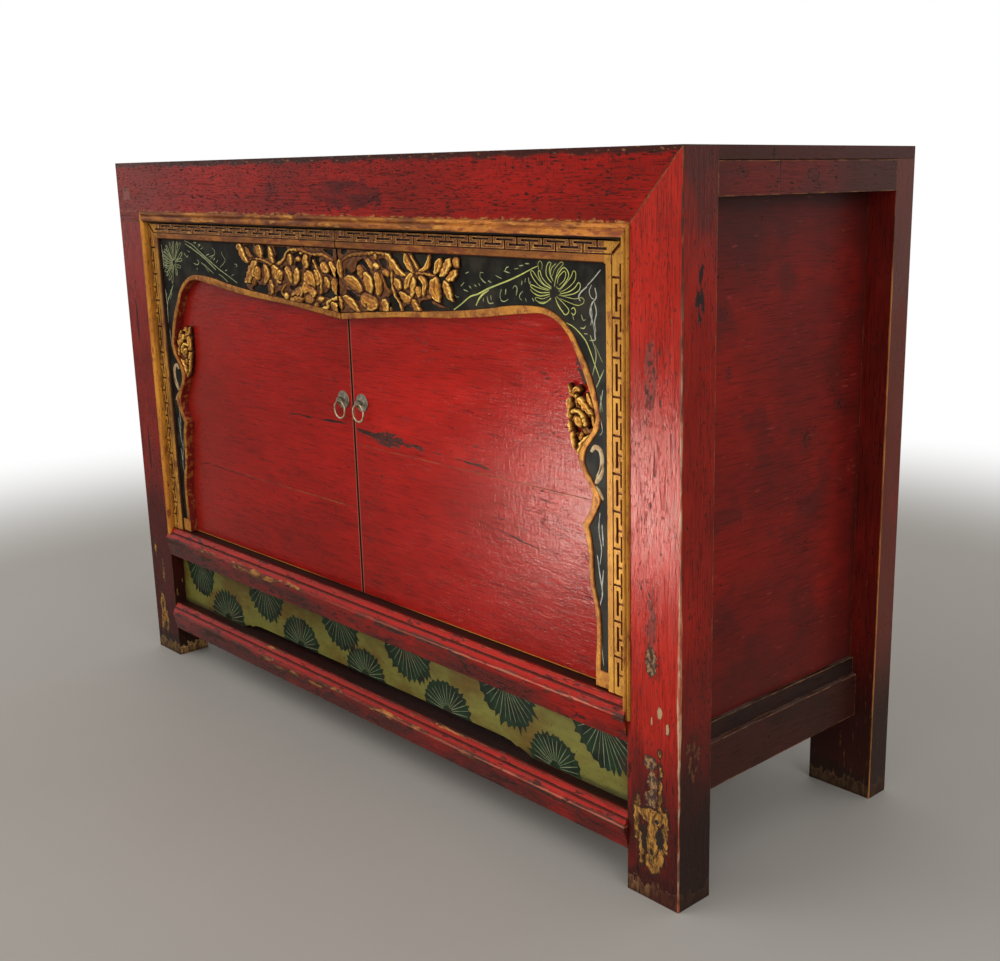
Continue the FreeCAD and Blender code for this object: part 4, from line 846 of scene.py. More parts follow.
# Painted light: the left moulding is the same gold painted lighter, for light that it doesn't get
dress(gilding("gilt_moulding_left_painted_lighter", (0.8, 0.34, 0.046), (0.58, 0.22, 0.032), wear=0.6), "left_moulding")
dress(gilding("gilt_moulding_top", (0.46, 0.165, 0.025), (0.25, 0.07, 0.012), wear=0.9, grain="x",
              metallic=0.15, shadow=766.2), "top_moulding")
bead_gilt = dress(gilding("gilt_bead", (0.5, 0.205, 0.03), (0.27, 0.09, 0.016), wear=0.9, inner_red=True,
                          grain="none"), *both("arch_bead"))
carved_gilt = dress(gilding("gilt_carving", (0.66, 0.3, 0.045), (0.42, 0.15, 0.022), hollow=True, wear=0.35,
                            metallic=0.45, rough=0.33, grain="none"), *both("carving"), *both("side_carving"))
dress(black_ground(), *both("spandrel"))
dress(apron_paint(), "apron")
fan_green = fan_paint()
fan_line = brush_paint("fan_line_paint", (0.2, 0.23, 0.13), (0.13, 0.16, 0.06), thin=0.5)
green_line = brush_paint("green_line_paint", (0.54, 0.54, 0.13), (0.36, 0.4, 0.12))
pale_line = brush_paint("pale_line_paint", (0.4, 0.43, 0.2), (0.26, 0.28, 0.13), thin=0.45)
grey_line = brush_paint("grey_line_paint", (0.5, 0.49, 0.4), (0.26, 0.25, 0.2), thin=0.6)
cream = brush_paint("cream_paint", (0.56, 0.42, 0.24), (0.42, 0.26, 0.12), thin=0.25)
dress(plain_wood("bare_wood_x", "x", (0.3, 0.185, 0.1), (0.19, 0.11, 0.06)),
      "back_top_rail", "back_floor_rail", "floor_front_board", "floor_middle_board", "floor_back_board")
dress(plain_wood("bare_wood_y", "y", (0.28, 0.17, 0.09), (0.18, 0.1, 0.055)), "top_battens", "floor_bearers")
dress(plain_wood("bare_wood_z", "z", (0.27, 0.165, 0.09), (0.17, 0.1, 0.055)),
      "back_muntin", "back_left_panel", "back_right_panel", *both("door_battens"))
ring_brass = dress(old_brass("ring_brass", (0.56, 0.44, 0.28), (0.24, 0.16, 0.08)), *both("pull_ring"))
plate_brass = dress(old_brass("plate_brass", (0.27, 0.24, 0.18), (0.1, 0.085, 0.06), rough=0.42),
                    *both("pull_plate"), *both("pull_staple"))


# Meshes

def piece(name, vertices, faces, material, body, smooth=True):
    """New piece from points in millimetres, riding on a body."""
    mesh = bpy.data.meshes.new(name)
    mesh.from_pydata([tuple(c * MM for c in v) for v in vertices], [], faces)
    mesh.validate()
    made = bpy.data.objects.new(name, mesh)
    bpy.context.scene.collection.objects.link(made)
    mesh.materials.append(material)
    if smooth:
        smoothed(mesh)
    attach(made, body)
    return made


def smoothed(mesh):
    mesh.polygons.foreach_set("use_smooth", [True] * len(mesh.polygons))


def spine_points(points, count):
    """Evenly spaced points of a smooth curve through a few points."""
    points = np.array(points, float)
    if len(points) == 2:
        points = np.array([points[0], points.mean(0), points[1]])
    ends = np.vstack([2 * points[0] - points[1], points, 2 * points[-1] - points[-2]])
    fine = []
    for i in range(1, len(ends) - 2):
        a, b, c, d = ends[i - 1:i + 3]
        for t in np.linspace(0, 1, 12, endpoint=False):
            fine.append(0.5 * (2 * b + (c - a) * t + (2 * a - 5 * b + 4 * c - d) * t * t
                               + (3 * b - a - 3 * c + d) * t ** 3))
    fine.append(points[-1])
    fine = np.array(fine)
    length = np.r_[0, np.cumsum(np.linalg.norm(np.diff(fine, axis=0), axis=1))]
    at = np.linspace(0, length[-1], count)
    return np.stack([np.interp(at, length, fine[:, k]) for k in range(fine.shape[1])], 1)


def side_vectors(spine):
    run = np.gradient(spine, axis=0)
    run /= np.linalg.norm(run, axis=1, keepdims=True) + 1e-9
    return np.stack([-run[:, 1], run[:, 0]], 1)


def strokes(name, lines, material, body, surface_y, width=1.3, proud=0.16):
    """Brush strokes: slightly raised ribbons on a plane, thinner at their ends."""
    # The ribbon's section: places across it and their heights, as shares
    section = ((-1, -0.05), (-0.5, 0.8), (0.5, 0.8), (1, -0.05))
    vertices, faces = [], []
    for number, line in enumerate(lines):
        spine = spine_points(line, 6 + 3 * len(line))
        across = side_vectors(spine)
        share = np.linspace(0, 1, len(spine))
        press = 0.85 + 0.25 * math.sin(number * 2.3)
        taper = 0.35 + 0.65 * np.sin(np.pi * np.clip(share * 0.92 + 0.06, 0, 1)) ** 0.6
        half = width / 2 * press * taper
        for i in range(len(spine)):
            if i:
                start = len(vertices) - len(section)
                faces += [(a, a + 1, a + 5, a + 4) for a in range(start, start + 3)]
            for side, lift in section:
                x, z = spine[i] + across[i] * half[i] * side
                vertices.append((x, surface_y - proud * lift, z))
    return piece(name, vertices, faces, material, body)


def stored(mesh, label, values):
    """Keeps a value for each vertex, for the material to read."""
    mesh.attributes.new(label, "FLOAT", "POINT").data.foreach_set("value", values.astype(np.float32))


def hollows(mesh):
    """Stores how far each place of a mesh is hollow (+) or crowned (-), and how deep it lies."""
    count = len(mesh.vertices)
    place, normal = np.zeros((2, count * 3), np.float32)
    mesh.vertices.foreach_get("co", place)
    mesh.vertices.foreach_get("normal", normal)
    place, normal = (values.reshape(-1, 3).astype(float) for values in (place, normal))
    edges = np.zeros(len(mesh.edges) * 2, np.int32)
    mesh.edges.foreach_get("vertices", edges)
    a, b = edges.reshape(-1, 2).T
    run = place[b] - place[a]
    length = np.linalg.norm(run, axis=1) + 1e-9
    bend = np.bincount(a, (run * normal[a]).sum(1) / length, count)
    bend += np.bincount(b, (-run * normal[b]).sum(1) / length, count)
    links = np.maximum(np.bincount(a, minlength=count) + np.bincount(b, minlength=count), 1)
    bend /= links
    for _ in range(4):
        around = np.bincount(a, bend[b], count) + np.bincount(b, bend[a], count)
        bend = 0.5 * bend + 0.5 * around / links
    stored(mesh, "hollow", bend)
    stored(mesh, "depth", (place[:, 1] - place[:, 1].min()) / (np.ptp(place[:, 1]) + 1e-9))


def inside(outline, x, z):
    """Which places of a grid lie within a closed outline."""
    result = np.zeros(x.shape, bool)
    for (x1, z1), (x2, z2) in zip(outline, outline[1:] + outline[:1]):
        if z1 != z2:
            result ^= ((z1 > z) != (z2 > z)) & (x < (x2 - x1) * (z - z1) / (z2 - z1) + x1)
    return result


def blurred(grid, reach):
    """Grid smoothed over a reach given in cells."""
    width = int(3 * reach) + 1
    weights = np.exp(-0.5 * (np.arange(-width, width + 1) / reach) ** 2)
    weights /= weights.sum()
    for _ in range(2):
        padded = np.pad(grid, ((width, width), (0, 0)), mode="edge")
        grid = sum(w * padded[k:k + grid.shape[0]] for k, w in enumerate(weights)).T
    return grid


def smooth_step(value, start, end):
    share = np.clip((value - start) / (end - start), 0, 1)
    return share * share * (3 - 2 * share)


def groove(u, middle, width, depth):
    """Line cut along a form, at a share of its half width."""
    return depth * np.exp(-((u - middle) / width) ** 2)


def form_height(kind, width, level, spine, turn, x, z):
    """Height of one carved leaf, petal, bud or stem over a grid, and the cut round it.

    u is the way from the form's spine, as a share of its half width there.
    """
    middle = spine_points(spine, 36)
    across = side_vectors(middle)
    share = np.linspace(0, 1, len(middle))
    # A knife wanders: no outline is quite smooth
    x, z = (x + 0.45 * np.sin(z * 0.55 + 2 * turn) + 0.16 * np.sin(z * 2.3 + x * 0.9),
            z + 0.40 * np.sin(x * 0.60 + turn) + 0.14 * np.sin(x * 2.6 - z * 1.1))
    if kind == "leaf":
        lobes = max(2, round(len(spine) * 1.2))
        half = width / 2 * (np.sin(np.pi * np.clip(share, 0, 1) ** 0.75) ** 0.85 + 0.07)
        half *= 1 + 0.10 * np.cos(2 * np.pi * share * lobes + turn)
    elif kind == "stem":
        half = width / 2 * (0.85 + 0.15 * np.cos(share * 7 + turn))
    else:
        half = width / 2 * (np.sqrt(np.clip(1 - (2 * share - 1) ** 2, 0, 1)) + 0.06)
    place = np.stack([x, z], -1)[..., None, :] - middle
    distance = np.linalg.norm(place, axis=-1)
    nearest = (distance / np.sqrt(half)).argmin(-1)
    away = np.take_along_axis(distance, nearest[..., None], -1)[..., 0]
    side = np.sign((np.take_along_axis(place, nearest[..., None, None], -2)[..., 0, :]
                    * across[nearest]).sum(-1))
    u = away / half[nearest]
    moat = (1 - smooth_step(u, 1.05, 1.40)) * 0.68
    along_share = share[nearest]
    crown = np.sqrt(np.clip(1 - u * u, 0, 1))
    if kind == "leaf":
        lift = 0.66 + 0.34 * crown + 0.16 * turn * side * u - groove(u, 0, 0.16, 0.24)
        lift += 0.11 * np.cos(2 * np.pi * (along_share * 4 - u * 0.8)) * u
    elif kind == "petal":
        lift = 0.64 + 0.34 * crown + 0.16 * turn * side * u
        lift -= groove(u, 0.58, 0.11, 0.15) + groove(u, 0, 0.13, 0.13)
        lift += 0.05 * np.cos(2 * np.pi * (along_share * 3 + u * 0.5))
    elif kind == "bud":
        lift = 0.50 + 0.58 * crown - groove(u, 0.6, 0.12, 0.14)
    else:
        lift = 0.55 + 0.40 * crown + 0.05 * np.sin(along_share * 40)
    lift *= 0.90 + 0.10 * np.sin(np.pi * along_share)
    return level * lift * (1 - smooth_step(u, 0.93, 1.06)), moat


def lower_edge(replaced, xs, zs, low, high):
    """Height at which the outline of a solid begins over each place along X."""
    shape = bmesh.new()
    shape.from_mesh(nodes[replaced].data)
    tree = BVHTree.FromBMesh(shape)
    floor_z = np.full(len(xs), high.z)
    for i, place in enumerate(xs):
        for level in zs:
            if tree.ray_cast(Vector((place * MM, (low.y - 5) * MM, level * MM)), Vector((0, 1, 0)))[0]:
                floor_z[i] = level
                break
    shape.free()
    return floor_z


def carving(hand, name, forms, holes, field, base_y, replaced, plate):
    """Pierced relief as a height field: leaves and petals over a plate with holes, gilt all over."""
    grid_step, widened, narrow_widened = 0.55, {"leaf": 1.42, "petal": 1.42}, 1.2
    least_height, rounding, hollow_reach, clearance, sunk = 0.06, 0.7, 3.2, 0.15, 0.2
    low, high = [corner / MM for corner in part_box(replaced)]
    xs = np.arange(low.x, high.x + grid_step / 2, grid_step)
    zs = np.arange(low.z, high.z, grid_step)
    floor_z = lower_edge(replaced, xs, zs, low, high)
    x, z = np.meshgrid(xs, zs, indexing="ij")
    solid = inside(field, x, z)
    for hole in holes:
        solid &= ~inside(hole, x, z)
    height = plate * smooth_step(blurred(solid.astype(float), 1.6), 0.42, 0.72)
    height *= 0.86 + 0.14 * np.sin(x * 0.42 + np.sin(z * 0.31) * 2)
    for number, (kind, width, level, spine) in enumerate(forms):
        points = np.array(spine, float)
        least, most = points.min(0) - width, points.max(0) + width
        columns = slice(*np.searchsorted(xs, (least[0], most[0])))
        rows = slice(*np.searchsorted(zs, (least[1], most[1])))
        if columns.start < columns.stop and rows.start < rows.stop:
            window = height[columns, rows]
            top, moat = form_height(kind, width * widened.get(kind, narrow_widened), level, spine,
                                    (-1) ** number, x[columns, rows], z[columns, rows])
            window *= 1 - moat
            np.maximum(window, top, out=window)
    height = blurred(height, rounding)
    height[z < floor_z[:, None] + 0.2] = 0
    hollow = blurred(height, hollow_reach) - height
    used = height > least_height
    cells = used[:-1, :-1] | used[1:, :-1] | used[:-1, 1:] | used[1:, 1:]
    corners = np.zeros(height.shape, bool)
    for a in (slice(None, -1), slice(1, None)):
        for b in (slice(None, -1), slice(1, None)):
            corners[a, b] |= cells
    number = -np.ones(height.shape, int)
    number[corners] = np.arange(corners.sum())
    reach = base_y - low.y - clearance
    y = np.where(used, base_y - np.clip(height, 0, 1) * reach, base_y + sunk)
    points = np.stack([x[corners], y[corners], z[corners]], 1)
    i, j = np.nonzero(cells)
    faces = np.stack([number[i, j], number[i + 1, j], number[i + 1, j + 1], number[i, j + 1]], 1)
    pairs = np.vstack([faces[:, (0, 1)], faces[:, (1, 2)], faces[:, (2, 3)], faces[:, (3, 0)]])
    pairs = np.vstack([pairs, pairs[:, ::-1]])
    count = np.bincount(pairs[:, 0], minlength=len(points))[:, None]
    # Two rounds of smoothing take the grid's steps off
    for _ in range(2):
        around = np.stack([np.bincount(pairs[:, 0], points[pairs[:, 1], k], len(points)) for k in range(3)], 1)
        points = 0.55 * points + 0.45 * around / count
    made = piece(name, points.tolist(), faces.tolist(), carved_gilt, f"{hand}_door")
    stored(made.data, "hollow", hollow[corners])
    stored(made.data, "depth", (1 - height)[corners])
    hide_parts(replaced)


def outlines(text):
    """Lines of points x,z in millimetres."""
    return [[tuple(float(part) for part in place.split(",")) for place in line.split()]
            for line in text.strip().split("\n")]


def carved_forms(text):
    """Lines of a kind, a width, a height as a share, and the points x,z of a spine."""
    rows = [line.split(None, 3) for line in text.strip().split("\n")]
    return [(kind, float(width), float(level), outlines(spine)[0]) for kind, width, level, spine in rows]


def mirrored(lines):
    return [[(-x, z) for x, z in line] for line in lines]


# The carvings' forms, later ones over earlier ones
right_forms = carved_forms("""
stem 5 0.6 2,709 13,722 35,730 70,733
stem 5 0.7 68,733 97,735 115,733
leaf 9 0.8 113,736 127,722 141,712 158,707
leaf 7 0.8 6,723 7,709 11,697
petal 13 0.8 18,697 39,692 56,682
petal 9 0.7 52,716 54,710 60,703
petal 13 1 65,706 73,695 74,680
petal 9 0.9 90,709 96,696 95,680
bud 7 0.9 87,719 98,717
leaf 6 0.7 69,726 78,720 84,712
leaf 6 0.7 88,732 92,726
petal 15 0.8 56,676 71,669 89,668
leaf 10 0.75 11,673 34,663 51,652
stem 3.5 0.6 66,665 67,650
leaf 11 0.8 103,674 109,665 122,656
stem 4 0.6 101,707 109,694 117,684
bud 8 0.7 106,712 119,707
stem 4 0.8 125,710 126,695 132,680 142,670 144,658
petal 10 0.9 132,700 142,692
leaf 8 0.9 169,711 159,698 154,690
petal 8 1 172,706 170,693 167,683
leaf 6 0.8 183,709 195,700 190,682
petal 9 0.8 141,685 154,678 166,678
petal 8 0.8 180,694 183,684
leaf 8 0.7 166,678 174,669 186,660
leaf 7 0.8 156,736 159,726 173,712
stem 3.5 0.8 168,734 176,725 182,718
leaf 5 0.8 206,736 200,721 179,713
stem 4 0.7 177,712 198,712 218,709
leaf 8 0.9 227,732 223,722 216,712
leaf 9 1 247,733 238,720 226,710
bud 11 0.7 253,731 264,726
leaf 8 0.8 258,719 250,712 236,706
leaf 13 0.9 218,707 215,693 224,678
leaf 9 0.9 234,705 242,690 250,680
bud 5 0.5 196,684 206,682
leaf 8 0.7 -1,673 4,661 6,654""")
left_forms = carved_forms("""
leaf 10 0.8 -264,730 -256,731 -248,719 -232,708
leaf 5 0.6 -240,733 -232,724 -219,716
leaf 11 0.8 -205,737 -201,727 -194,717
stem 4.5 0.7 -228,714 -199,716 -170,709
leaf 8 0.8 -172,735 -168,720 -162,709
stem 5 0.8 -159,708 -136,717 -121,731 -98,733
leaf 15 0.9 -211,712 -228,693 -246,680
petal 10 0.9 -207,703 -209,687
petal 10 0.8 -189,708 -183,694 -190,683
leaf 7 0.6 -218,686 -225,676
petal 14 0.9 -165,705 -155,695 -148,685
petal 9 1 -144,700 -148,690
leaf 8 0.7 -176,687 -172,674 -176,664
leaf 7 0.8 -130,708 -120,697 -116,684
leaf 8 0.8 -119,726 -118,717 -116,710
bud 7 0.7 -102,721 -91,719
petal 10 1 -101,706 -102,696 -106,686
leaf 7 0.8 -90,736 -83,728
petal 10 0.9 -75,726 -79,718 -75,708
petal 15 1 -78,700 -66,691 -68,677
petal 9 0.9 -55,705 -48,696 -49,686
petal 12 0.9 -82,687 -76,676 -56,674
bud 8 0.9 -134,669 -130,662
petal 13 0.8 -121,665 -105,669 -91,678
leaf 9 0.7 -125,657 -106,660 -87,664
petal 9 0.7 -82,667 -64,664
stem 4 0.8 -57,719 -47,705 -40,695 -42,675
leaf 9 0.9 -36,716 -29,710 -20,705
stem 5 0.7 -95,734 -62,728 -35,728 -11,721
leaf 6 0.9 -16,720 -5,707 4,691
petal 9 0.8 -31,696 -22,684
petal 9 0.8 -9,696 -7,685 -1,676
bud 7 0.8 -49,666 -36,667
leaf 6 0.7 -55,659 -56,652
stem 6 0.9 -4,670 -24,664 -28,656 -44,652
stem 4 0.7 -133,682 -145,672 -138,664
leaf 9 0.8 -18,660 -6,656 3,654""")
side_forms = carved_forms("""
leaf 6 0.7 446,598 450,588 459,584 460,572
leaf 5.5 0.7 467,592 459,592 455,586
leaf 9 0.9 463,582 473,577 482,570 487,558
leaf 8 0.8 450,581 447,568 451,556
stem 6 0.9 454,566 463,568 471,563 475,553
bud 8.5 0.9 461,560 468,551
leaf 5.5 0.7 484,566 489,552 486,538
leaf 6 0.8 447,556 449,545 457,538
leaf 6.5 0.8 453,543 452,532 458,520
leaf 7.5 0.85 483,541 473,531 466,517 460,511
petal 6 0.7 467,543 465,534
leaf 5 0.7 458,520 466,510 471,503
leaf 6 0.7 476,590 482,580 488,572""")

# Dark holes of the carvings, and the plates that hold the leaves together
right_holes = outlines("""
11,736 25,736 17,730 10,731
18,712 26,708 26,703 17,703
47,721 60,726 76,713 73,708 58,719 51,718 48,707 43,703 26,701 41,709
95,726 108,728 114,724 110,716 103,716 99,722
122,736 150,735 150,728 155,722 166,720 163,713 150,713 136,720 128,728
167,736 202,736 200,730 195,722 184,716 179,723 171,730
206,734 218,733 220,729 215,718 207,715 201,717 207,725
104,707 120,705 122,701 121,691 112,688 108,695
128,705 143,703 152,702 135,702
175,705 186,704 186,698 183,692 177,697
192,711 204,707 210,700 204,695 198,700 196,704
128,692 133,685 140,680 133,676 126,680
17,682 27,682 38,677 49,673 47,669 33,670 19,676
113,678 125,684 133,677 139,668 136,656 125,657 119,670
137,676 144,678 143,672 139,672
71,660 90,661 94,658 105,654 71,653
145,666 154,670 162,667 168,662 144,660
184,677 205,680 206,675 220,671 236,670 240,668 183,665 181,673""")
left_holes = outlines("""
-246,735 -219,736 -219,727 -209,716 -221,717 -234,726
-192,736 -178,736 -180,728 -180,718 -193,718 -190,728
-161,735 -124,735 -132,728 -143,719 -156,711 -162,717 -157,724
-207,711 -193,710 -200,702 -208,705
-187,706 -174,706 -173,701 -178,695 -187,696
-114,726 -101,729 -87,730 -86,721 -87,710 -90,706 -99,705 -108,710 -104,716
-142,706 -132,709 -130,705 -136,702 -143,703
-66,724 -44,724 -47,719 -38,714 -47,711 -54,716 -63,713 -64,708 -55,706 -42,701 -53,701 -71,706 -75,711 -68,715
-23,710 -16,711 -10,700 -15,698 -23,703 -39,701 -37,703
-216,682 -206,677 -186,678 -185,667 -193,664 -226,668 -230,671 -222,678
-159,670 -149,672 -145,668 -140,663 -148,662 -165,664
-124,681 -107,680 -115,675 -124,676
-105,656 -88,661 -81,656 -63,656 -66,650 -77,651
-47,673 -29,676 -28,679 -14,683 -4,674 -20,668 -31,670 -40,671
-56,658 -44,660 -42,656 -47,652 -54,653
-36,735 -11,735 -10,726 -23,730""")
side_holes = outlines("""
473,560 484,562 486,553 479,548 473,551
454,549 464,548 463,542 455,542
455,535 464,536 466,530 460,527 454,530""")
right_field, left_field, side_field = outlines("""
0,742 118,739 208,738 201,717 211,706 206,696 205,680 242,670 224,661 210,640 0,640
-250,680 -233,710 -259,727 -248,738 0,744 0,640 -180,640 -243,672
450,572 458,584 470,584 480,576 489,560 489,536 478,524 470,512 458,512 450,530 447,552""")

turned_forms = [(*form[:3], line) for form, line in zip(side_forms, mirrored([form[3] for form in side_forms]))]
carving("right", "right_carved_flowers", right_forms, right_holes, right_field, ground_y, "right_carving", 0.40)
carving("left", "left_carved_flowers", left_forms, left_holes, left_field, ground_y, "left_carving", 0.40)
carving("right", "right_side_flowers", side_forms, side_holes, side_field, board_y, "right_side_carving", 0.52)
carving("left", "left_side_flowers", turned_forms, mirrored(side_holes), mirrored([side_field])[0], board_y,
        "left_side_carving", 0.52)


# Painted corners of the doors
right_branch = outlines("""
247,670 262,678 279,688 294,692 312,699 331,705 354,712 376,720 391,726 402,730
290,678 296,686 303,692 315,698
449,668 461,664 473,656 482,647 494,624 502,608""")
right_leaves = outlines("""
262,700 269,705
272,716 278,718
299,712 300,718 306,718
300,712 305,708 310,706
267,696 276,694
250,688 255,686 258,687
278,701 282,698
288,703 292,701
296,705 299,702
314,709 320,707
328,716 334,714 339,713
343,722 348,721 354,720
345,722 348,726 352,727
362,725 369,726
371,729 378,730
381,732 388,732
304,688 304,683
311,690 313,684 316,682 323,683
318,692 319,686
338,700 335,693 337,687 343,686 350,689
346,701 345,694
358,702 362,706
362,706 366,703 364,694
375,712 374,707
381,715 380,710
386,716 388,709 390,712
376,700 371,696 370,692 374,689
380,692 382,688
392,693 395,689
459,678 461,672
473,679 476,673 480,674
471,664 477,664 480,667
477,658 483,658
486,651 494,652 496,655
487,657 496,636 490,612
494,647 506,628
496,599 508,620
502,591 505,572""")
right_petals = outlines("""
422,704 406,707 395,715 390,723 394,724 402,716 412,709 425,705
424,706 412,710 405,717 403,723 406,725 409,718 416,712 425,707
404,726 403,733 407,736 410,732 409,726
425,712 417,720 417,729 421,735 425,734 422,728 423,721 428,714
428,714 424,722 426,729 433,734
427,720 431,728 441,736 445,734 436,726 432,717
430,708 433,718 445,730 453,725 452,718 439,706 433,708
435,712 437,719 446,726 449,723 446,716 438,710
437,703 447,711 457,720 461,727 465,725 463,716 451,707 439,702
439,700 455,704 465,710 468,714 472,713 470,706 459,701 441,698
437,699 451,697 463,696 474,698 478,695 475,691 467,689 455,691 439,695
422,701 406,700 393,704 389,707 392,708 404,705 420,703
422,699 406,696 394,699 389,703
422,697 410,693 399,694 397,692 403,689 416,690 424,695
424,694 412,688 403,688
431,696 435,689 445,678 450,678 453,683 443,691 433,697
432,692 439,683 444,681
457,684 461,686 464,682 461,678 457,680""")
right_greys = outlines("""
504,730 493,720 483,712
483,711 473,704 469,698 472,694
490,713 486,706 489,699 495,697
495,710 497,700 490,692 487,682 491,672 494,661
494,694 497,683 494,672 496,661
488,691 490,680 488,668
494,661 495,652
506,597 501,571 505,551 501,545""")
strip_greys = outlines("""
500,454 498,433 502,410 499,391
495,402 499,379 503,358 499,342
499,332 501,295 504,268
505,386 502,361
503,440 505,415""")
left_branch = outlines("""
-433,737 -408,731 -384,720 -355,707 -326,695 -303,687 -276,677
-431,732 -409,725 -379,714 -355,703 -338,694
-330,688 -318,684 -304,677
-483,664 -492,652 -503,640 -509,629""")
left_leaves = outlines("""
-404,734 -395,735 -400,732
-390,731 -382,732 -389,728
-383,725 -374,727 -376,729
-366,716 -356,718
-357,714 -341,717 -338,723 -345,728
-354,711 -344,714
-344,709 -338,713
-336,705 -330,710
-325,699 -312,706 -308,711 -317,720 -315,723
-310,694 -304,696
-293,687 -284,690
-280,706 -273,704 -276,701
-437,717 -428,711 -424,714
-425,721 -417,719
-407,702 -396,700 -390,705 -396,708
-384,704 -372,699 -361,690
-374,702 -363,696 -345,688
-398,695 -397,692
-507,649 -511,642 -509,641
-495,655 -490,649 -498,640""")
left_greys = outlines("""
-512,728 -510,708 -511,690
-511,655 -509,629 -511,600
-508,590 -505,560""")
left_tips = sum(outlines("""
-511,716 -512,710 -511,703 -510,697 -506,692 -508,685 -502,678 -496,671 -485,666 -467,680
-451,694 -445,706 -443,718 -446,733 -457,735 -470,735 -484,733 -496,728 -504,721"""), [])
# Cream scroll with its little leaf, raised on the black ground
scroll_lines = outlines("""
487,524 493,530 501,527 504,517 502,505 496,496
505,510 501,499 494,488
494,484 499,479 506,470""")


def flower(centre, tips, width):
    """Long narrow petals, each a closed brushed loop from near the centre to its tip."""
    # Share of the way to the tip, and share of the half width
    loop = ((0.12, 0.2), (0.5, 0.75), (0.85, 0.9), (1, 0), (0.85, -0.9), (0.5, -0.75), (0.12, -0.2))
    loops = []
    for number, tip in enumerate(tips):
        run = np.array(tip, float) - centre
        side = np.array([-run[1], run[0]]) / np.linalg.norm(run) * width
        bend = side * (0.9 if number % 2 else -0.7)
        loops.append([tuple(np.array(centre) + run * share + side * offset
                            + bend * (math.sin(math.pi * share) * 0.8)) for share, offset in loop])
    return loops


# Name after the hand, lines, paint and width
painted = {
    "right": [("painted_branch", right_branch, green_line, 2.4),
              ("painted_leaves", right_leaves, pale_line, 1.4),
              ("painted_flower", right_petals, green_line, 1.3),
              ("painted_greys", right_greys + strip_greys, grey_line, 1.9)],
    "left": [("painted_branch", left_branch, pale_line, 1.9), ("painted_leaves", left_leaves, pale_line, 1.4),
             ("painted_flower", flower((-473, 700), left_tips, 2.4), pale_line, 1.3),
             ("painted_greys", left_greys + mirrored(strip_greys), grey_line, 1.6)]}
for hand, pieces in painted.items():
    for name, lines, paint, width in pieces:
        strokes(f"{hand}_{name}", lines, paint, f"{hand}_door", ground_y, width)
strokes("right_cream_scroll", scroll_lines, cream, "right_door", ground_y, 8, 1.5)
strokes("left_cream_scroll", mirrored(scroll_lines), cream, "left_door", ground_y, 8, 1.5)


# Pine fans on the apron: (middle x, half width, reach, lean), from the upper and the lower rail
hanging_fans = [(-495, 49, 74, 0.05), (-284, 57, 66, 0.1), (-74, 53, 60, 0.2), (95, 60, 62, 0.25),
                (310, 60, 66, 0.2), (488, 56, 68, 0.25)]
standing_fans = [(-409, 56, 53, 0.05), (-182, 55, 50, 0), (-6, 51, 42, -0.1), (187, 55, 46, 0),
                 (405, 51, 47, -0.15)]


def apron_fans():
    """Fans as thin leaves with ragged rims, and their rays as brush strokes."""
    top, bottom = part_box("door_rail")[0].z / MM + 1, 98
    cut_out, cut_out_rise = 330, 11.5
    rim_points, rays, right_end = 44, 15, 551
    leaf_y = apron_y - 0.10
    lines, vertices, faces = [], [], []
    random = np.random.default_rng(11)
    for fans, base, up in ((hanging_fans, top, -1), (standing_fans, bottom, 1)):
        for middle, half, reach, lean in fans:
            if up > 0:
                base_z = base + (cut_out_rise if abs(middle) < cut_out else 1)
            else:
                base_z = base
            start = len(vertices)
            vertices.append((middle, leaf_y, base_z))
            for k in range(rim_points + 1):
                angle = math.pi * k / rim_points
                notch = 0.93 + 0.05 * math.cos(k * 2.1) + 0.035 * random.normal()
                x = middle + half * math.cos(angle) * notch + lean * reach * math.sin(angle)
                z = base_z + up * reach * (math.sin(angle) ** 0.8) * notch
                vertices.append((min(x, right_end), leaf_y, z))
            faces += [(start, start + 1 + k, start + 2 + k) for k in range(rim_points)]
            for k in range(rays):
                angle = math.pi * (k + 0.5) / rays
                first, last = 0.16 + 0.05 * random.random(), 0.80 + 0.12 * random.random()
                line = []
                for share in (first, (first + last) / 2, last):
                    x = middle + half * math.cos(angle) * share + lean * reach * math.sin(angle) * share
                    z = base_z + up * reach * (math.sin(angle) ** 0.9) * share
                    line.append((min(x, right_end - 1), z))
                lines.append(line)
    piece("apron_fans", vertices, faces, fan_green, "carcass", smooth=False)
    strokes("apron_fan_lines", lines, fan_line, "carcass", apron_y - 0.12, proud=0.10)


apron_fans()


# Ring pulls

def drop_ring(hand, turns=96, sides=20):
    """Ring of forged wire, a little thinner at its top."""
    low, high = [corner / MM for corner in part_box(f"{hand}_pull_ring")]
    centre = (low + high) / 2
    wire = high.y - low.y
    radius = (high.z - low.z - wire) / 2
    swell = 0.12
    axis, up = Vector((0, 1, 0)), Vector((0, 0, 1))
    side = axis.cross(up)
    vertices, faces = [], []
    for i in range(turns):
        angle = 2 * math.pi * i / turns
        outward = up * math.cos(angle) + side * math.sin(angle)
        thick = wire / 2 * (1 - swell * math.cos(angle) * 0.6 - swell * 0.4)
        after = (i + 1) % turns
        for k in range(sides):
            turn = 2 * math.pi * k / sides
            beside = (k + 1) % sides
            vertices.append(tuple(centre + outward * (radius + thick * math.cos(turn))
                                  + axis * (thick * math.sin(turn))))
            faces.append((i * sides + k, i * sides + beside, after * sides + beside, after * sides + k))
    made = piece(f"{hand}_drop_ring", vertices, faces, ring_brass, f"{hand}_ring")
    hollows(made.data)
    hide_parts(f"{hand}_pull_ring")


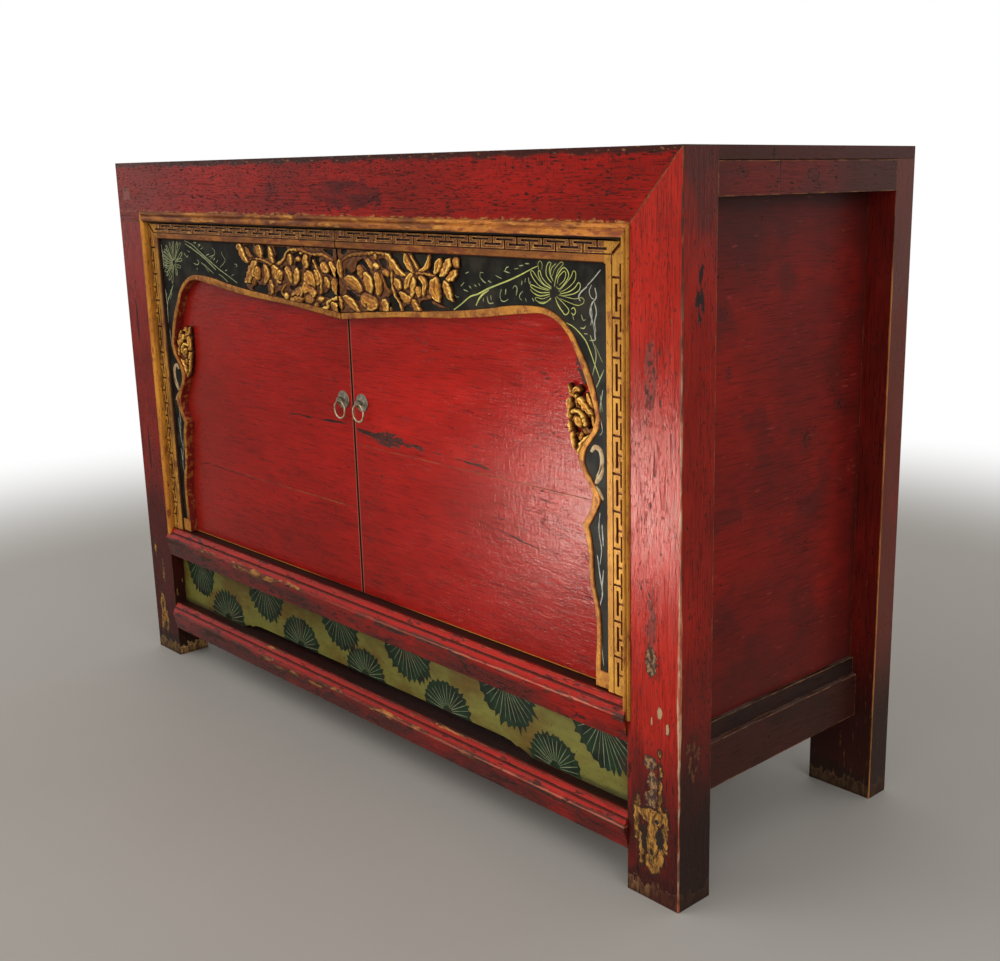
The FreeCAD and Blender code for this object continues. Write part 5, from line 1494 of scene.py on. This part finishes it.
def pull_plate(hand, count=64):
    """Thin oval plate, dished at its rim and raised round the staple."""
    low, high = [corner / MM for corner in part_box(f"{hand}_pull_plate")]
    middle = (low + high) / 2
    wide, tall, back = (high.x - low.x) / 2, (high.z - low.z) / 2, high.y
    inset = 0.995
    # Rings of points: share of the half width, and height over the door
    rings = [(0.12, 2.25), (0.3, 2.25), (0.38, 1.9), (0.44, 1.35), (0.52, 1.15), (0.8, 1), (0.9, 1.15),
             (0.97, 1.35), (1, 1.1), (1, 0.4), (0.985, 0)]
    vertices, faces = [], []
    for share, rise in rings:
        for k in range(count):
            angle = 2 * math.pi * k / count
            ripple = 1 + 0.008 * math.sin(5 * angle + 1) * share
            vertices.append((middle.x + wide * share * ripple * math.cos(angle) * inset, back - rise,
                             middle.z + tall * share * ripple * math.sin(angle) * inset))
    for i in range(len(rings) - 1):
        for k in range(count):
            a, b = i * count + k, i * count + (k + 1) % count
            faces.append((a, a + count, b + count, b))
    faces.append(tuple(range(count)))
    made = piece(f"{hand}_oval_plate", vertices, faces, plate_brass, f"{hand}_door")
    fixed = bmesh.new()
    fixed.from_mesh(made.data)
    bmesh.ops.recalc_face_normals(fixed, faces=fixed.faces)
    fixed.to_mesh(made.data)
    fixed.free()
    smoothed(made.data)
    hollows(made.data)
    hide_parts(f"{hand}_pull_plate")


def gilt_bead(hand):
    """The bead's own outline with its front arrises rounded."""
    same_place, rounding = 1e-5, 1.7 * MM
    made = bpy.data.objects.new(f"{hand}_gilt_bead", nodes[f"{hand}_arch_bead"].data.copy())
    bpy.context.scene.collection.objects.link(made)
    mesh = bmesh.new()
    mesh.from_mesh(made.data)
    bmesh.ops.remove_doubles(mesh, verts=mesh.verts, dist=same_place)
    bmesh.ops.dissolve_limit(mesh, angle_limit=math.radians(1), verts=mesh.verts, edges=mesh.edges)
    front = min(v.co.y for v in mesh.verts)
    rim = [e for e in mesh.edges if all(abs(v.co.y - front) < same_place for v in e.verts)]
    bmesh.ops.bevel(mesh, geom=rim, offset=rounding, segments=4, profile=0.55, affect="EDGES",
                    clamp_overlap=True)
    mesh.to_mesh(made.data)
    mesh.free()
    made.data.materials.clear()
    made.data.materials.append(bead_gilt)
    made.data.set_sharp_from_angle(angle=math.radians(40))
    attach(made, f"{hand}_door")
    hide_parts(f"{hand}_arch_bead")


for hand in hands:
    drop_ring(hand)
    pull_plate(hand)
for hand in hands:
    gilt_bead(hand)


# Stage, light and camera

def stage():
    """Grey floor that fades to the white background, to the camera only."""
    fade_start, fade_end = 1300, 2500
    p = Paint("floor_paint", 0.1)
    far = p.step(p.math("SQRT", (p.x * p.x + p.y * p.y)), fade_start, fade_end)
    p.colour = p.shaded((0.385, 0.36, 0.325), 0.96 + 0.08 * p.noise(300))
    p.finish(0.62, 0.05 * p.noise(3, detail=2), 0)
    white = p.node("ShaderNodeEmission")
    p.put(1, white.inputs["Strength"])
    blend = p.node("ShaderNodeMixShader")
    seen = p.node("ShaderNodeLightPath")
    p.put(Value(p, seen.outputs["Is Camera Ray"]) * far, blend.inputs[0])
    p.link(p.shader.outputs[0], blend.inputs[1])
    p.link(white.outputs[0], blend.inputs[2])
    output = next(node for node in p.tree.nodes if node.type == "OUTPUT_MATERIAL")
    p.link(blend.outputs[0], output.inputs[0])
    mesh = bpy.data.meshes.new("floor")
    mesh.from_pydata([(-9, -9, 0), (9, -9, 0), (9, 9, 0), (-9, 9, 0)], [], [(0, 1, 2, 3)])
    floor = bpy.data.objects.new("floor", mesh)
    bpy.context.scene.collection.objects.link(floor)
    mesh.materials.append(p.material)


def surroundings():
    """White to the camera and in reflections, a plainer level as light."""
    world = bpy.data.worlds.new("studio")
    bpy.context.scene.world = world
    world.use_nodes = True
    tree = world.node_tree
    tree.nodes.clear()
    output = tree.nodes.new("ShaderNodeOutputWorld")
    blend = tree.nodes.new("ShaderNodeMixShader")
    path = tree.nodes.new("ShaderNodeLightPath")
    share = path.outputs["Is Camera Ray"]
    for ray in ("Is Glossy Ray", "Is Transmission Ray"):
        either = tree.nodes.new("ShaderNodeMath")
        either.operation = "MAXIMUM"
        tree.links.new(share, either.inputs[0])
        tree.links.new(path.outputs[ray], either.inputs[1])
        share = either.outputs[0]
    tree.links.new(share, blend.inputs[0])
    light_level, white_level = 0.68, 1
    for index, strength in ((1, light_level), (2, white_level)):
        background = tree.nodes.new("ShaderNodeBackground")
        background.inputs["Color"].default_value = (1, 1, 1, 1)
        background.inputs["Strength"].default_value = strength
        tree.links.new(background.outputs[0], blend.inputs[index])
    tree.links.new(blend.outputs[0], output.inputs[0])


def soft_light(name, place, target, width, height, power, spread=180):
    data = bpy.data.lights.new(name, "AREA")
    data.shape = "RECTANGLE"
    data.size = width
    data.size_y = height
    data.energy = power
    data.spread = math.radians(spread)
    made = bpy.data.objects.new(name, data)
    made.location = place
    direction = Vector(target) - Vector(place)
    made.rotation_euler = direction.to_track_quat("-Z", "Y").to_euler()
    bpy.context.scene.collection.objects.link(made)


def make_camera():
    """Camera at the photograph's place, angle and framing."""
    place = (1.50385449, -1.21741195, 0.833111745)
    azimuth, elevation, roll = 0.803670355, 0.240086891, -0.0140390002
    focal_pixels, picture_width, sensor_width = 1285.03934, 1000, 36
    forward = Vector((-math.sin(azimuth) * math.cos(elevation), math.cos(azimuth) * math.cos(elevation),
                      -math.sin(elevation)))
    right = forward.cross(Vector((0, 0, 1))).normalized()
    up = right.cross(forward)
    right_rolled = right * math.cos(roll) + up * math.sin(roll)
    up_rolled = up * math.cos(roll) - right * math.sin(roll)
    turn = Matrix((right_rolled, up_rolled, -forward)).transposed()
    data = bpy.data.cameras.new("camera")
    camera = bpy.data.objects.new("camera", data)
    bpy.context.scene.collection.objects.link(camera)
    camera.matrix_world = Matrix.Translation(place) @ turn.to_4x4()
    data.sensor_width = sensor_width
    data.lens = focal_pixels / picture_width * sensor_width
    data.shift_x = -0.07
    data.shift_y = 0.0075
    bpy.context.scene.camera = camera


stage()
surroundings()
soft_light("window", (-0.33, -1.175, 0.15), (0.56, -0.22, 0.44), 0.36, 0.28, 0.95, 50)
soft_light("ceiling", (-0.9, -2.2, 2.5), (0.1, 0, 0.4), 2.2, 2.2, 28)
soft_light("fill", (3.2, -0.7, 1.5), (0.6, 0, 0.4), 1.8, 1.8, 22)
make_camera()
bpy.context.scene.view_settings.view_transform = "Standard"
